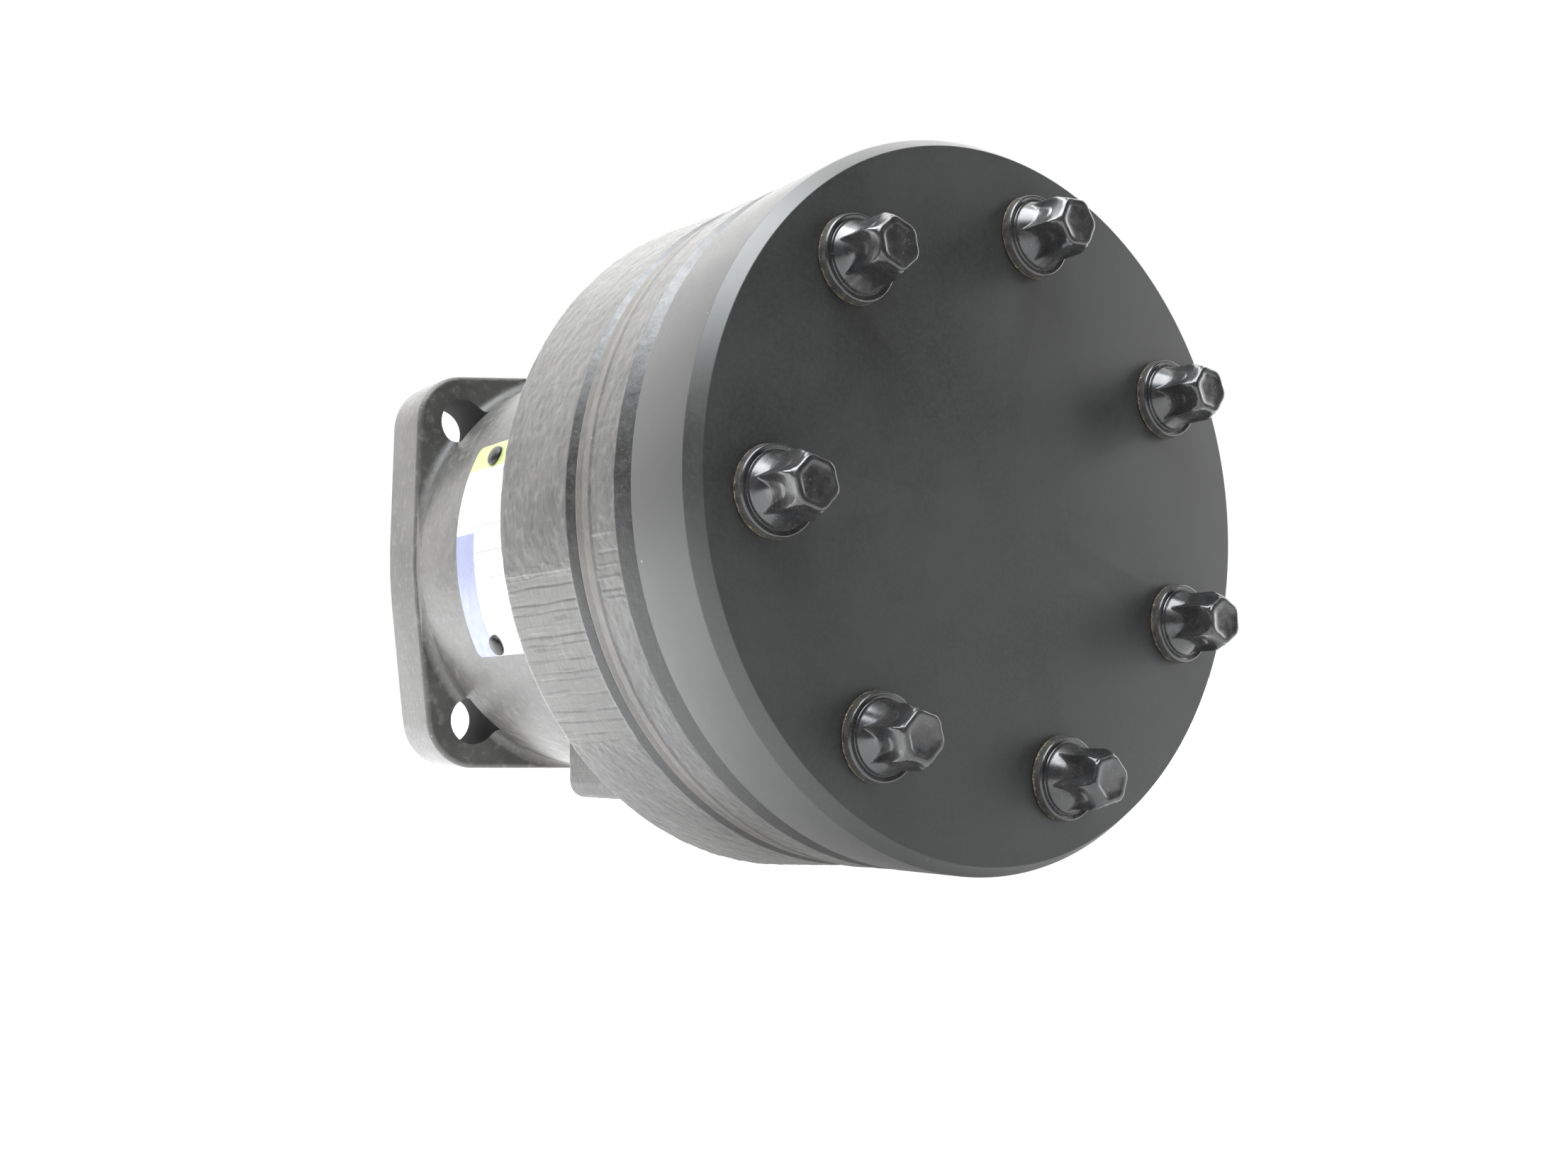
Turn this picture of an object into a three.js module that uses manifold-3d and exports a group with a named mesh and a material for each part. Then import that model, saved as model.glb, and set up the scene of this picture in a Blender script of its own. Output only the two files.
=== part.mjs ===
// Low-speed, high-torque orbital (roller-gerotor) hydraulic motor.
// Millimetres, +Z up. Origin: centre of the mounting face of the square flange,
// on the shaft axis. +X: out along the shaft. -X: towards the rear end cap.
import * as THREE from 'three';
import * as BufferGeometryUtils from 'three/addons/utils/BufferGeometryUtils.js';
import Module from 'manifold-3d';

const wasm = await Module();
wasm.setup();

// ---------------------------------------------------------------- dimensions
const BODY_R = 70.0;            // outside radius of cap and geroler ring
const X_CAP = -167.8;           // outer face of the end cap
const CAP_T = 19.4;             // end cap thickness
const GAP = 0.2;                // joint line between clamped plates
const RING_T = 14.7;            // geroler ring thickness
const PLATE_T = 5.6;            // spacer plate thickness
const X_RING = X_CAP + CAP_T + GAP;          // -148.2
const X_PLATE = X_RING + RING_T + GAP;       // -133.3
const X_HOUS = X_PLATE + PLATE_T + GAP;      // -127.5
const X_STEP = -102.3;          // front face of the wide part of the housing
const HOUS_R0 = 70.2, HOUS_R1 = 71.6;        // drafted wide part, rear and front
const NECK_R0 = 52.6, NECK_R1 = 51.7;        // drafted neck, rear and front
const FLANGE_T = 16.2;          // mounting flange thickness
const FLANGE_S = 49.0;          // half side at the corners
const FLANGE_A = 52.35;         // half side at the middle of each side
const FLANGE_CR = 13.0;         // corner radius
const MOUNT_P = 75.24 / 2;      // half spacing of the four mounting holes
const MOUNT_HR = 6.1;           // mounting hole radius
const PILOT_R = 41.25, PILOT_H = 3.0;        // locating pilot

const SEG = 42;                 // facets round the large turned pieces
const N_ROLL = 7;               // rollers in the ring, bolts in the cap
const PITCH = 2 * Math.PI / N_ROLL;
const BOLT_PR = 54.0;           // radius of the bolt circle
const BOLT_R = 4.0;             // M8 shank
const BOLT_HOLE_R = 4.5;
const BOLT_LEN = 60.0;          // under the head
const BOLT_FLANGE_R = 8.2;      // head flange
const BOLT_TOP = 12.4;          // head height above the cap

const ROLL_PR = 37.0;           // radius of the roller centres
const ROLL_R = 7.0;             // roller radius
const ECC = 3.0;                // orbit radius of the star
const STAR_CLEAR = 0.26;        // running clearance of the star
const RING_IN_R = 37.2;         // ring bore between the pockets

const SPL_N = 12;               // teeth of the drive splines
const X_SPL_REAR = -138.8, SPL_REAR_L = 12.0;
const X_SPL_FRONT = -84.0, SPL_FRONT_L = 16.0;

const SHAFT_R = 31.75 / 2;      // parallel keyed output shaft
const SHAFT_END = 56.0;
const JOURNAL_R = 17.5;         // bearing journal
const SPOOL_R = 24.0, SPOOL_BORE_R = 24.3;   // valve spool, in the housing bore
const X_SPOOL0 = -124.0, X_SPOOL1 = -62.0;
const KEY_W = 7.94;

const PORT = [[-86, 16], [-70, -16]];        // port centres on the underside, X and Y
const PORT_Z = -56.5;           // port boss face
const PORT_R = 10.4;            // port thread, minor radius

// ------------------------------------------------------------------ helpers
const YZX = new THREE.Matrix4().makeBasis(
  new THREE.Vector3(0, 1, 0), new THREE.Vector3(0, 0, 1), new THREE.Vector3(1, 0, 0));

function arrays(geometry) {
  let g = geometry.clone();
  for (const k of Object.keys(g.attributes)) if (k !== 'position') g.deleteAttribute(k);
  g = BufferGeometryUtils.mergeVertices(g, 1e-4);
  const p = g.attributes.position.array;
  const idx = g.index.array;
  const tri = [];
  for (let i = 0; i < idx.length; i += 3) {
    const [a, b, c] = [idx[i], idx[i + 1], idx[i + 2]];
    if (a !== b && b !== c && c !== a) tri.push(a, b, c);
  }
  let v = 0;
  for (let i = 0; i < tri.length; i += 3) {
    const [a, b, c] = [tri[i] * 3, tri[i + 1] * 3, tri[i + 2] * 3];
    v += p[a] * (p[b + 1] * p[c + 2] - p[b + 2] * p[c + 1])
       - p[a + 1] * (p[b] * p[c + 2] - p[b + 2] * p[c])
       + p[a + 2] * (p[b] * p[c + 1] - p[b + 1] * p[c]);
  }
  if (v < 0) for (let i = 0; i < tri.length; i += 3) [tri[i + 1], tri[i + 2]] = [tri[i + 2], tri[i + 1]];
  return { p: Float32Array.from(p), tri: Uint32Array.from(tri) };
}
const solid = (geometry) => {
  const { p, tri } = arrays(geometry);
  return new wasm.Manifold(new wasm.Mesh({ numProp: 3, vertProperties: p, triVerts: tri }));
};
function toGeometry(manifold) {
  const m = manifold.getMesh();
  const g = new THREE.BufferGeometry();
  const n = m.vertProperties.length / m.numProp;
  const p = new Float32Array(n * 3);
  for (let i = 0; i < n; i++) for (let k = 0; k < 3; k++) p[i * 3 + k] = m.vertProperties[i * m.numProp + k];
  g.setAttribute('position', new THREE.BufferAttribute(p, 3));
  g.setIndex(new THREE.BufferAttribute(Uint32Array.from(m.triVerts), 1));
  return g.toNonIndexed();
}
const union = (list) => list.reduce((a, b) => a.add(b));
const cut = (a, list) => list.reduce((s, b) => s.subtract(b), a);

// body of revolution about the X axis: profile is a list of [x, r]
function turnedGeometry(profile, seg = 48) {
  const pts = profile.map(([x, r]) => new THREE.Vector2(Math.max(r, 0), x));
  const closed = profile[0][1] > 1e-9;
  if (closed) pts.push(pts[0].clone());
  const g = new THREE.LatheGeometry(pts, seg);
  g.rotateZ(-Math.PI / 2);
  return g;
}
const turned = (profile, seg) => solid(turnedGeometry(profile, seg));
const rod = (x0, x1, r, seg = 24) => turned([[x0, 0], [x0, r], [x1, r], [x1, 0]], seg);
const tube = (x0, x1, ri, ro, seg = 48) => turned([[x0, ri], [x0, ro], [x1, ro], [x1, ri]], seg);

// shape drawn in (Y, Z), pushed along X from x0 to x1
function pushedGeometry(shape, x0, x1, opt = {}) {
  const b = opt.bevelThickness || 0;
  const g = new THREE.ExtrudeGeometry(shape, {
    depth: x1 - x0 - 2 * b, steps: 1, curveSegments: opt.curveSegments || 10,
    bevelEnabled: b > 0, bevelThickness: b, bevelSize: opt.bevelSize || 0,
    bevelOffset: -(opt.bevelSize || 0), bevelSegments: opt.bevelSegments || 1,
  });
  g.applyMatrix4(YZX);
  g.translate(x0 + b, 0, 0);
  return g;
}
const pushed = (shape, x0, x1, opt) => solid(pushedGeometry(shape, x0, x1, opt));
const polygon = (pts) => new THREE.Shape(pts.map(([a, b]) => new THREE.Vector2(a, b)));
const move = (m, x, y, z) => m.translate([x, y, z]);
const polar = (r, a) => [r * Math.cos(a), r * Math.sin(a)];

// cylinder between two points
function peg(a, b, r, seg = 16, r2 = r) {
  const A = new THREE.Vector3(...a), B = new THREE.Vector3(...b);
  const g = new THREE.CylinderGeometry(r2, r, A.distanceTo(B), seg);
  const q = new THREE.Quaternion().setFromUnitVectors(new THREE.Vector3(0, 1, 0), B.clone().sub(A).normalize());
  g.applyQuaternion(q);
  const m = A.add(B).multiplyScalar(0.5);
  g.translate(m.x, m.y, m.z);
  return solid(g);
}
function block(x0, x1, y0, y1, z0, z1) {
  const g = new THREE.BoxGeometry(x1 - x0, y1 - y0, z1 - z0);
  g.translate((x0 + x1) / 2, (y0 + y1) / 2, (z0 + z1) / 2);
  return solid(g);
}

const motor = new THREE.Group();
motor.name = 'hydraulic_motor';
const FINISH = {
  paint: { color: 0x2b2d2c, roughness: 0.42, metalness: 0.1 },
  cast: { color: 0x303231, roughness: 0.6, metalness: 0.1 },
  bolt: { color: 0x17181a, roughness: 0.25, metalness: 0.5 },
  steel: { color: 0xa6a8aa, roughness: 0.3, metalness: 0.9 },
  ground: { color: 0xc2c4c6, roughness: 0.18, metalness: 1.0 },
  rubber: { color: 0x151515, roughness: 0.8, metalness: 0.0 },
  plate: { color: 0xe6e6e0, roughness: 0.4, metalness: 0.1 },
};
function piece(name, shape, finish, parent = motor) {
  const g = shape.isBufferGeometry ? shape : toGeometry(shape);
  g.computeVertexNormals();
  const mesh = new THREE.Mesh(g, new THREE.MeshStandardMaterial(FINISH[finish]));
  mesh.name = name;
  parent.add(mesh);
  return mesh;
}

// bolts stand at k * PITCH from the +Y side; rollers stand half a pitch away
const boltAngle = (k) => k * PITCH;
const rollAngle = (k) => (k + 0.5) * PITCH;
const boltAt = (k) => polar(BOLT_PR, boltAngle(k));
const rollAt = (k) => polar(ROLL_PR, rollAngle(k));
const K = [...Array(N_ROLL).keys()];

// ------------------------------------------------------------------ end cap
{
  let cap = turned([
    [X_CAP, 0], [X_CAP, BODY_R - 2.0], [X_CAP + 3.1, BODY_R], [X_CAP + CAP_T, BODY_R],
    [X_CAP + CAP_T, 48.0], [X_CAP + CAP_T - 1.7, 48.0], [X_CAP + CAP_T - 1.7, 45.5],
    [X_CAP + CAP_T, 45.5], [X_CAP + CAP_T, 0]], SEG);
  cap = cut(cap, K.map((k) => move(rod(X_CAP - 1, X_CAP + CAP_T + 1, BOLT_HOLE_R, 8), 0, ...boltAt(k))));
  piece('end_cap', cap, 'paint');
}

// ---------------------------------------------------------- geroler ring set
{
  let ring = turned([
    [X_RING, RING_IN_R], [X_RING, BODY_R - 3.4], [X_RING + 5.6, BODY_R],
    [X_RING + RING_T, BODY_R - 0.2], [X_RING + RING_T, RING_IN_R]], SEG);
  ring = cut(ring, K.map((k) => move(rod(X_RING - 1, X_RING + RING_T + 1, BOLT_HOLE_R, 8), 0, ...boltAt(k))));
  ring = cut(ring, K.map((k) => move(rod(X_RING - 1, X_RING + RING_T + 1, ROLL_R + 0.25, 20), 0, ...rollAt(k))));
  piece('geroler_ring', ring, 'cast');
}
for (const k of K) {
  const r = turned([
    [X_RING + 0.15, 0], [X_RING + 0.15, ROLL_R - 0.5], [X_RING + 0.65, ROLL_R],
    [X_RING + RING_T - 0.65, ROLL_R], [X_RING + RING_T - 0.15, ROLL_R - 0.5], [X_RING + RING_T - 0.15, 0]], 16);
  piece(`roller_${k + 1}`, move(r, 0, ...rollAt(k)), 'ground');
}

// splined outline: n teeth between radius ri and ro; ft and fr are the shares of
// the pitch taken by the tooth's crest and the root
function splineOutline(n, ri, ro, crest, root) {
  const pts = [];
  const p = 2 * Math.PI / n;
  for (let i = 0; i < n; i++) {
    const a = i * p;
    pts.push(polar(ro, a - crest * p / 2), polar(ro, a + crest * p / 2));
    pts.push(polar(ri, a + p / 2 - root * p / 2), polar(ri, a + p / 2 + root * p / 2));
  }
  return pts;
}

// six-lobe star: roller-centre path of the orbit, offset inwards by one roller
{
  const pts = [];
  const steps = 12 * (N_ROLL - 1);
  for (let i = 0; i < steps; i++) {
    const t = i * 2 * Math.PI / steps;
    const px = ROLL_PR * Math.cos(t) - ECC * Math.cos(7 * t);
    const py = ROLL_PR * Math.sin(t) - ECC * Math.sin(7 * t);
    let dx = -ROLL_PR * Math.sin(t) + 7 * ECC * Math.sin(7 * t);
    let dy = ROLL_PR * Math.cos(t) - 7 * ECC * Math.cos(7 * t);
    const l = Math.hypot(dx, dy); dx /= l; dy /= l;
    const off = ROLL_R + STAR_CLEAR;
    const x = px - dy * off, y = py + dx * off;
    pts.push([-x, -y]);                       // valley towards the roller on the -Y side
  }
  const shape = polygon(pts);
  const hole = new THREE.Path(splineOutline(SPL_N, 13.4, 16.0, 0.56, 0.34).map(([a, b]) => new THREE.Vector2(a, b)));
  shape.holes.push(hole);
  const star = pushed(shape, X_RING + 0.15, X_RING + RING_T - 0.15);
  piece('rotor_star', move(star, 0, -ECC, 0), 'ground');
}

// thrust disc behind the drive, inside the star
piece('drive_spacer', move(turned([
  [X_RING + 0.3, 0], [X_RING + 0.3, 12.2], [X_RING + 1.5, 12.2],
  [X_RING + 1.9, 11.6], [X_RING + 1.9, 0]], 16), 0, -ECC, 0), 'steel');

// ------------------------------------------------------- splined cardan drive
{
  const L = X_SPL_FRONT - X_SPL_REAR;
  const tilt = Math.atan2(ECC, L);
  const Lt = Math.hypot(L, ECC);
  // drawn along X with the front spline centred on x = 0, rear spline at x = -Lt
  const tooth = polygon(splineOutline(SPL_N, 12.5, 15.1, 0.34, 0.44));
  const rear = pushed(tooth, -Lt - SPL_REAR_L / 2, -Lt + SPL_REAR_L / 2, { bevelThickness: 3.5, bevelSize: 0.45, bevelSegments: 1 });
  const front = pushed(tooth, -SPL_FRONT_L / 2, SPL_FRONT_L / 2, { bevelThickness: 4.5, bevelSize: 0.5, bevelSegments: 1 });
  const core = turned([
    [-Lt - SPL_REAR_L / 2 + 0.5, 0], [-Lt - SPL_REAR_L / 2 + 0.5, 10.5], [-Lt + SPL_REAR_L / 2 + 1.5, 11.5],
    [-Lt + SPL_REAR_L / 2 + 6, 9.6], [-SPL_FRONT_L / 2 - 6, 9.6], [-SPL_FRONT_L / 2 - 1.5, 11.5],
    [SPL_FRONT_L / 2 - 0.5, 10.5], [SPL_FRONT_L / 2 - 0.5, 0]], 16);
  const drive = union([core, rear, front]).rotate([0, 0, tilt * 180 / Math.PI]);
  piece('cardan_drive', move(drive, X_SPL_FRONT, 0, 0), 'steel');
}

// -------------------------------------------------------------- spacer plate
{
  let plate = turned([
    [X_PLATE, 20.5], [X_PLATE, 45.5], [X_PLATE + 1.7, 45.5], [X_PLATE + 1.7, 48.0], [X_PLATE, 48.0],
    [X_PLATE, BODY_R - 0.4], [X_PLATE + 4.4, BODY_R - 0.2], [X_PLATE + PLATE_T, BODY_R - 0.9],
    [X_PLATE + PLATE_T, 20.5]], SEG);
  plate = cut(plate, K.map((k) => move(rod(X_PLATE - 1, X_PLATE + PLATE_T + 1, BOLT_HOLE_R, 8), 0, ...boltAt(k))));
  plate = cut(plate, K.map((k) => move(rod(X_PLATE - 1, X_PLATE + PLATE_T + 1, 3.0, 8), 0, ...polar(34.0, boltAngle(k)))));
  piece('spacer_plate', plate, 'cast');
}

// ---------------------------------------------------------------- seal rings
const sealRing = (x) => tube(x, x + 1.2, 46.1, 47.5, 24);
piece('seal_ring_cap', sealRing(X_CAP + CAP_T - 1.4), 'rubber');
piece('seal_ring_rotor', sealRing(X_PLATE + 0.2), 'rubber');
piece('seal_ring_housing', sealRing(X_HOUS + 0.2), 'rubber');

// ------------------------------------------------------------------- housing
const NECK_AT = (x) => NECK_R0 + (NECK_R1 - NECK_R0) * (x - X_STEP) / (-FLANGE_T - X_STEP);
function flangeOutline(n = 4) {
  // square with shallow peaked sides and round corners
  const c = FLANGE_CR, pts = [];
  const corner = [FLANGE_S, FLANGE_S];
  const side = new THREE.Vector2(FLANGE_S - FLANGE_A, FLANGE_S).normalize();   // from the right peak up to the corner
  for (let q = 0; q < 4; q++) {
    const loc = [[FLANGE_A, 0]];
    const a0 = Math.atan2(side.y, side.x) - Math.PI / 2;         // normal of the first side
    const a1 = Math.PI / 2 - a0;                                  // normal of the next side
    // fillet centre on the diagonal
    const cosHalf = Math.cos(Math.PI / 4 - a0);
    const d = Math.hypot(...corner) - c / cosHalf;
    const cc = d / Math.SQRT2;
    for (let i = 0; i <= n; i++) {
      const a = a0 + (a1 - a0) * i / n;
      loc.push([cc + c * Math.cos(a), cc + c * Math.sin(a)]);
    }
    const th = q * Math.PI / 2;
    for (const [x, y] of loc) pts.push([x * Math.cos(th) - y * Math.sin(th), x * Math.sin(th) + y * Math.cos(th)]);
  }
  return pts;
}
{
  const flange = pushed(polygon(flangeOutline()), -FLANGE_T, 0, { bevelThickness: 0.8, bevelSize: 0.8 });
  const shell = turned([
    [X_HOUS, 0], [X_HOUS, HOUS_R0 - 1.1], [X_HOUS + 1.7, HOUS_R0], [X_STEP - 2.5, HOUS_R1], [X_STEP - 0.7, HOUS_R1 - 0.7],
    [X_STEP, HOUS_R1 - 2.5], [X_STEP, 59], [X_STEP + 2, 55.2], [X_STEP + 6, NECK_AT(X_STEP + 6)], [-FLANGE_T - 5, NECK_AT(-FLANGE_T - 5)],
    [-FLANGE_T + 1, NECK_R1 - 0.1], [-FLANGE_T + 1, 0]], SEG);
  const fillet = turned([[-FLANGE_T - 3.0, 40], [-FLANGE_T - 3.0, NECK_AT(-FLANGE_T - 3.0) - 0.05], [-FLANGE_T - 0.9, 53.0], [-FLANGE_T + 0.5, 55.6], [-FLANGE_T + 0.5, 40]], SEG)
    .intersect(pushed(polygon(flangeOutline()), -FLANGE_T - 8, -FLANGE_T + 2));
  const pilot = turned([[-2, 0], [-2, PILOT_R], [PILOT_H - 0.8, PILOT_R], [PILOT_H, PILOT_R - 0.8], [PILOT_H, 0]], 32);
  // port boss on the underside
  const bossShape = new THREE.Shape();
  bossShape.moveTo(-31, -20); bossShape.lineTo(-32.5, PORT_Z + 4); bossShape.quadraticCurveTo(-32.5, PORT_Z, -28.5, PORT_Z);
  bossShape.lineTo(28.5, PORT_Z); bossShape.quadraticCurveTo(32.5, PORT_Z, 32.5, PORT_Z + 4); bossShape.lineTo(31, -20); bossShape.closePath();
  const boss = pushed(bossShape, X_STEP - 4, -53.5, { curveSegments: 3, bevelThickness: 1.5, bevelSize: 1.5 });
  let h = union([shell, flange, fillet, pilot, boss]);

  // stepped bore, from the valve bore to the seal bore
  const bore = turned([
    [X_HOUS - 1, 0], [X_HOUS - 1, SPOOL_BORE_R], [-98, SPOOL_BORE_R], [-98, 28], [-90, 28], [-90, SPOOL_BORE_R],
    [-80, SPOOL_BORE_R], [-80, 28], [-72, 28], [-72, SPOOL_BORE_R], [-55.3, SPOOL_BORE_R], [-55.3, 22.8], [-24.3, 22.8],
    [-24.3, 24.3], [-14.1, 24.3], [-14.1, 25.6], [-12.0, 25.6], [-12.0, 24.3], [PILOT_H + 1, 24.3], [PILOT_H + 1, 0]], 24);
  const groove = tube(X_HOUS - 1, X_HOUS + 1.5, 45.5, 48.0, 24);
  const tools = [bore, groove];
  for (const k of K) {
    tools.push(move(rod(X_HOUS - 1, X_CAP + BOLT_LEN + 2, BOLT_HOLE_R, 8), 0, ...boltAt(k)));
    tools.push(peg([X_HOUS - 2, ...polar(35.5, boltAngle(k))], [-109, ...polar(21, boltAngle(k))], 2.8, 8));
  }
  for (const sy of [-1, 1]) for (const sz of [-1, 1])
    tools.push(move(rod(-FLANGE_T - 4, 1, MOUNT_HR, 16), 0, sy * MOUNT_P, sz * MOUNT_P));
  for (const [x, y] of PORT) {
    tools.push(peg([x, y, PORT_Z - 1], [x, y, PORT_Z + 17], PORT_R, 16));
    tools.push(peg([x, y, PORT_Z - 1], [x, y, PORT_Z + 2.6], PORT_R + 2.6, 16, PORT_R));
  }
  tools.push(peg([-94, 16 - 5, PORT_Z + 16], [-94, 6, -25], 4.5, 8));
  tools.push(peg([-76, -14, PORT_Z + 16], [-76, -8, -24], 4.5, 8));
  // case drain, on the side away from the nameplate
  tools.push(peg([-36, -60, 0], [-36, -20, 0], 3.2, 8));
  tools.push(peg([-36, -60, 0], [-36, -41, 0], 5.9, 14));
  tools.push(peg([-36, -60, 0], [-36, -51.2, 0], 9.5, 14));
  // blind holes for the nameplate drive screws
  for (const a of [25.7, -22.5]) {
    const u = polar(1, a * Math.PI / 180);
    tools.push(peg([-54.1, u[0] * 47, u[1] * 47], [-54.1, u[0] * 56, u[1] * 56], 1.5, 6));
  }
  h = cut(h, tools);
  piece('housing', h, 'cast');
}

// -------------------------------------------------------------- output shaft
{
  const spline = polygon(splineOutline(SPL_N, 13.4, 16.0, 0.56, 0.34));
  let s = turned([
    [X_SPOOL0, 0], [X_SPOOL0, SPOOL_R - 0.5], [X_SPOOL0 + 0.5, SPOOL_R], [-106.5, SPOOL_R], [-106.5, 22.2], [-103.5, 22.2], [-103.5, SPOOL_R],
    [-88.5, SPOOL_R], [-88.5, 22.2], [-82.5, 22.2], [-82.5, SPOOL_R], [-66, SPOOL_R], [X_SPOOL1, SPOOL_R],
    [X_SPOOL1, JOURNAL_R], [-25, JOURNAL_R], [-24, SHAFT_R], [SHAFT_END - 1.5, SHAFT_R], [SHAFT_END, SHAFT_R - 1.5], [SHAFT_END, 0]], 24);
  const hollow = turned([[X_SPOOL0 - 1, 0], [X_SPOOL0 - 1, 18.0], [X_SPL_FRONT - 10, 18.0], [X_SPL_FRONT - 8.5, 15.5], [X_SPL_FRONT - 8.5, 0]], 20);
  const teeth = pushed(spline, X_SPL_FRONT - 9, X_SPL_FRONT + 9);
  const relief = turned([[X_SPL_FRONT + 8.5, 0], [X_SPL_FRONT + 8.5, 16.8], [-70, 16.8], [-66.5, 8], [-66.5, 0]], 14);
  const tools = [hollow, teeth, relief];
  // valve feed slots round the spool
  for (let i = 0; i < 6; i++) {
    const a = i * Math.PI / 3;
    const w = block(-102.5 + (i % 2 ? 0 : -14), -90.5 + (i % 2 ? 0 : -14), -1.6, 1.6, 22.4, 26);
    tools.push(w.rotate([a * 180 / Math.PI, 0, 0]));
  }
  // keyway and centre hole in the end
  tools.push(block(11, 51, -KEY_W / 2 - 0.15, KEY_W / 2 + 0.15, SHAFT_R - 4.2, SHAFT_R + 3));
  tools.push(turned([[34, 0], [36, 3.9], [SHAFT_END - 3, 3.9], [SHAFT_END + 0.1, 6.4], [SHAFT_END + 0.1, 0]], 10));
  s = cut(s, tools);
  piece('output_shaft', s, 'steel');
  const r = KEY_W / 2 - 0.05, key = new THREE.Shape();
  key.moveTo(11.3, -r); key.lineTo(50.7, -r); key.lineTo(50.7, r); key.lineTo(11.3, r); key.closePath();
  const kg = new THREE.ExtrudeGeometry(key, { depth: 6.7, bevelEnabled: true, bevelThickness: 0.5, bevelSize: 0.5, bevelOffset: -0.5, bevelSegments: 1 });
  kg.translate(0, 0, SHAFT_R - 4.0 + 0.5);
  piece('shaft_key', solid(kg), 'steel');
}

// ------------------------------------------------------------------ bearings
piece('thrust_race_rear', tube(-61.8, -60.2, 18.0, 23.8, 24), 'ground');
{
  const cage = tube(-59.5, -57.9, 18.6, 23.6, 24);
  const rolls = [];
  for (let i = 0; i < 10; i++) {
    const a = i * 2 * Math.PI / 10;
    rolls.push(peg([-58.7, ...polar(19.3, a)], [-58.7, ...polar(23.1, a)], 1.25, 6));
  }
  piece('thrust_bearing', union([cage, ...rolls]), 'steel');
}
piece('thrust_race_front', tube(-57.2, -55.6, 18.0, 23.8, 24), 'ground');
piece('front_bearing_cup', turned([[-52, 20.9], [-52, 22.5], [-28, 22.5], [-28, 20.9]], 24), 'steel');
{
  const cage = tube(-51, -29, 18.5, 19.9, 24);
  const rolls = [];
  for (let i = 0; i < 12; i++) {
    const a = (i + 0.5) * 2 * Math.PI / 12;
    rolls.push(move(rod(-49.5, -30.5, 1.45, 6), 0, ...polar(19.2, a)));
  }
  piece('front_bearing_rollers', union([cage, ...rolls]), 'steel');
}

// ------------------------------------------------------------- seals in front
piece('seal_backup_washer', tube(-24.0, -22.6, 16.4, 24.0, 24), 'steel');
piece('shaft_seal', turned([
  [-22.3, 17.6], [-22.3, 24.0], [-14.5, 24.0], [-14.5, 17.4], [-15.6, 16.2], [-17.4, 16.2],
  [-18.6, 17.2], [-18.6, 21.6], [-21.2, 21.6], [-21.2, 17.6]], 20), 'rubber');
piece('seal_retaining_ring', (() => {
  const ring = tube(-13.8, -12.3, 22.0, 25.3, 24);
  return cut(ring, [block(-15, -11, -3.2, 3.2, -27, -18)]);
})(), 'steel');
piece('dust_seal', turned([
  [-11.8, 17.5], [-11.8, 24.0], [-4.8, 24.0], [-4.8, 18.2], [-3.6, 16.35], [-5.2, 16.3], [-7.2, 17.5]], 20), 'rubber');

// ------------------------------------------------------------- case drain plug
{
  let plug = union([peg([-36, -51.9, 0], [-36, -42, 0], 5.5, 12), peg([-36, -54.6, 0], [-36, -51.6, 0], 8.6, 14)]);
  const hex = new THREE.CylinderGeometry(3.2, 3.2, 5, 6); hex.translate(-36, -53.6, 0);
  plug = cut(plug, [solid(hex)]);
  piece('case_drain_plug', plug, 'bolt');
}

// ---------------------------------------------------------------- nameplate
{
  const ri = NECK_R0 + 0.15, ro = NECK_R0 + 0.75, a0 = -25.4, a1 = 30.0, n = 12;
  const pts = [];
  for (let i = 0; i <= n; i++) pts.push(polar(ro, (a0 + (a1 - a0) * i / n) * Math.PI / 180));
  for (let i = n; i >= 0; i--) pts.push(polar(ri, (a0 + (a1 - a0) * i / n) * Math.PI / 180));
  let np = pushed(polygon(pts), -65.6, -42.6);
  const holes = [25.7, -22.5].map((a) => {
    const u = polar(1, a * Math.PI / 180);
    return peg([-54.1, u[0] * 50, u[1] * 50], [-54.1, u[0] * 56, u[1] * 56], 1.5, 6);
  });
  piece('nameplate', cut(np, holes), 'plate');
  [25.7, -22.5].forEach((a, i) => {
    const u = polar(1, a * Math.PI / 180);
    const shank = peg([-54.1, u[0] * 48, u[1] * 48], [-54.1, u[0] * 53.8, u[1] * 53.8], 1.2, 6);
    const head = peg([-54.1, u[0] * 53.6, u[1] * 53.6], [-54.1, u[0] * 54.6, u[1] * 54.6], 2.5, 10, 1.5);
    piece(`nameplate_rivet_${i + 1}`, union([shank, head]), 'bolt');
  });
}

// ------------------------------------------------- cap bolts, external six-lobe
for (const k of K) {
  const [y, z] = boltAt(k);
  const flange = turned([
    [-0.2, 0], [-0.2, BOLT_FLANGE_R], [-1.9, BOLT_FLANGE_R], [-2.9, 7.0], [-5.4, 5.4], [-5.4, 0]], 16);
  const lobes = [];
  for (let i = 0; i < 12; i++) {
    const a = i * Math.PI / 6;
    lobes.push(polar(4.35 + 0.75 * Math.cos(6 * a), a));
  }
  const head = pushed(polygon(lobes), -BOLT_TOP, -2.2);
  const shank = rod(-1, BOLT_LEN, BOLT_R, 8);
  piece(`cap_bolt_${k + 1}`, move(union([flange, head, shank]), X_CAP, y, z), 'bolt');
}

export default motor;
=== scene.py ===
# Orbital hydraulic motor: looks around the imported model. Metres, +Z up, +X out along the shaft.
# Shapes are written in millimetres here and scaled when a mesh is made.
import bpy
import bmesh
import math
import numpy as np
from mathutils import Matrix, Vector


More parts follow.
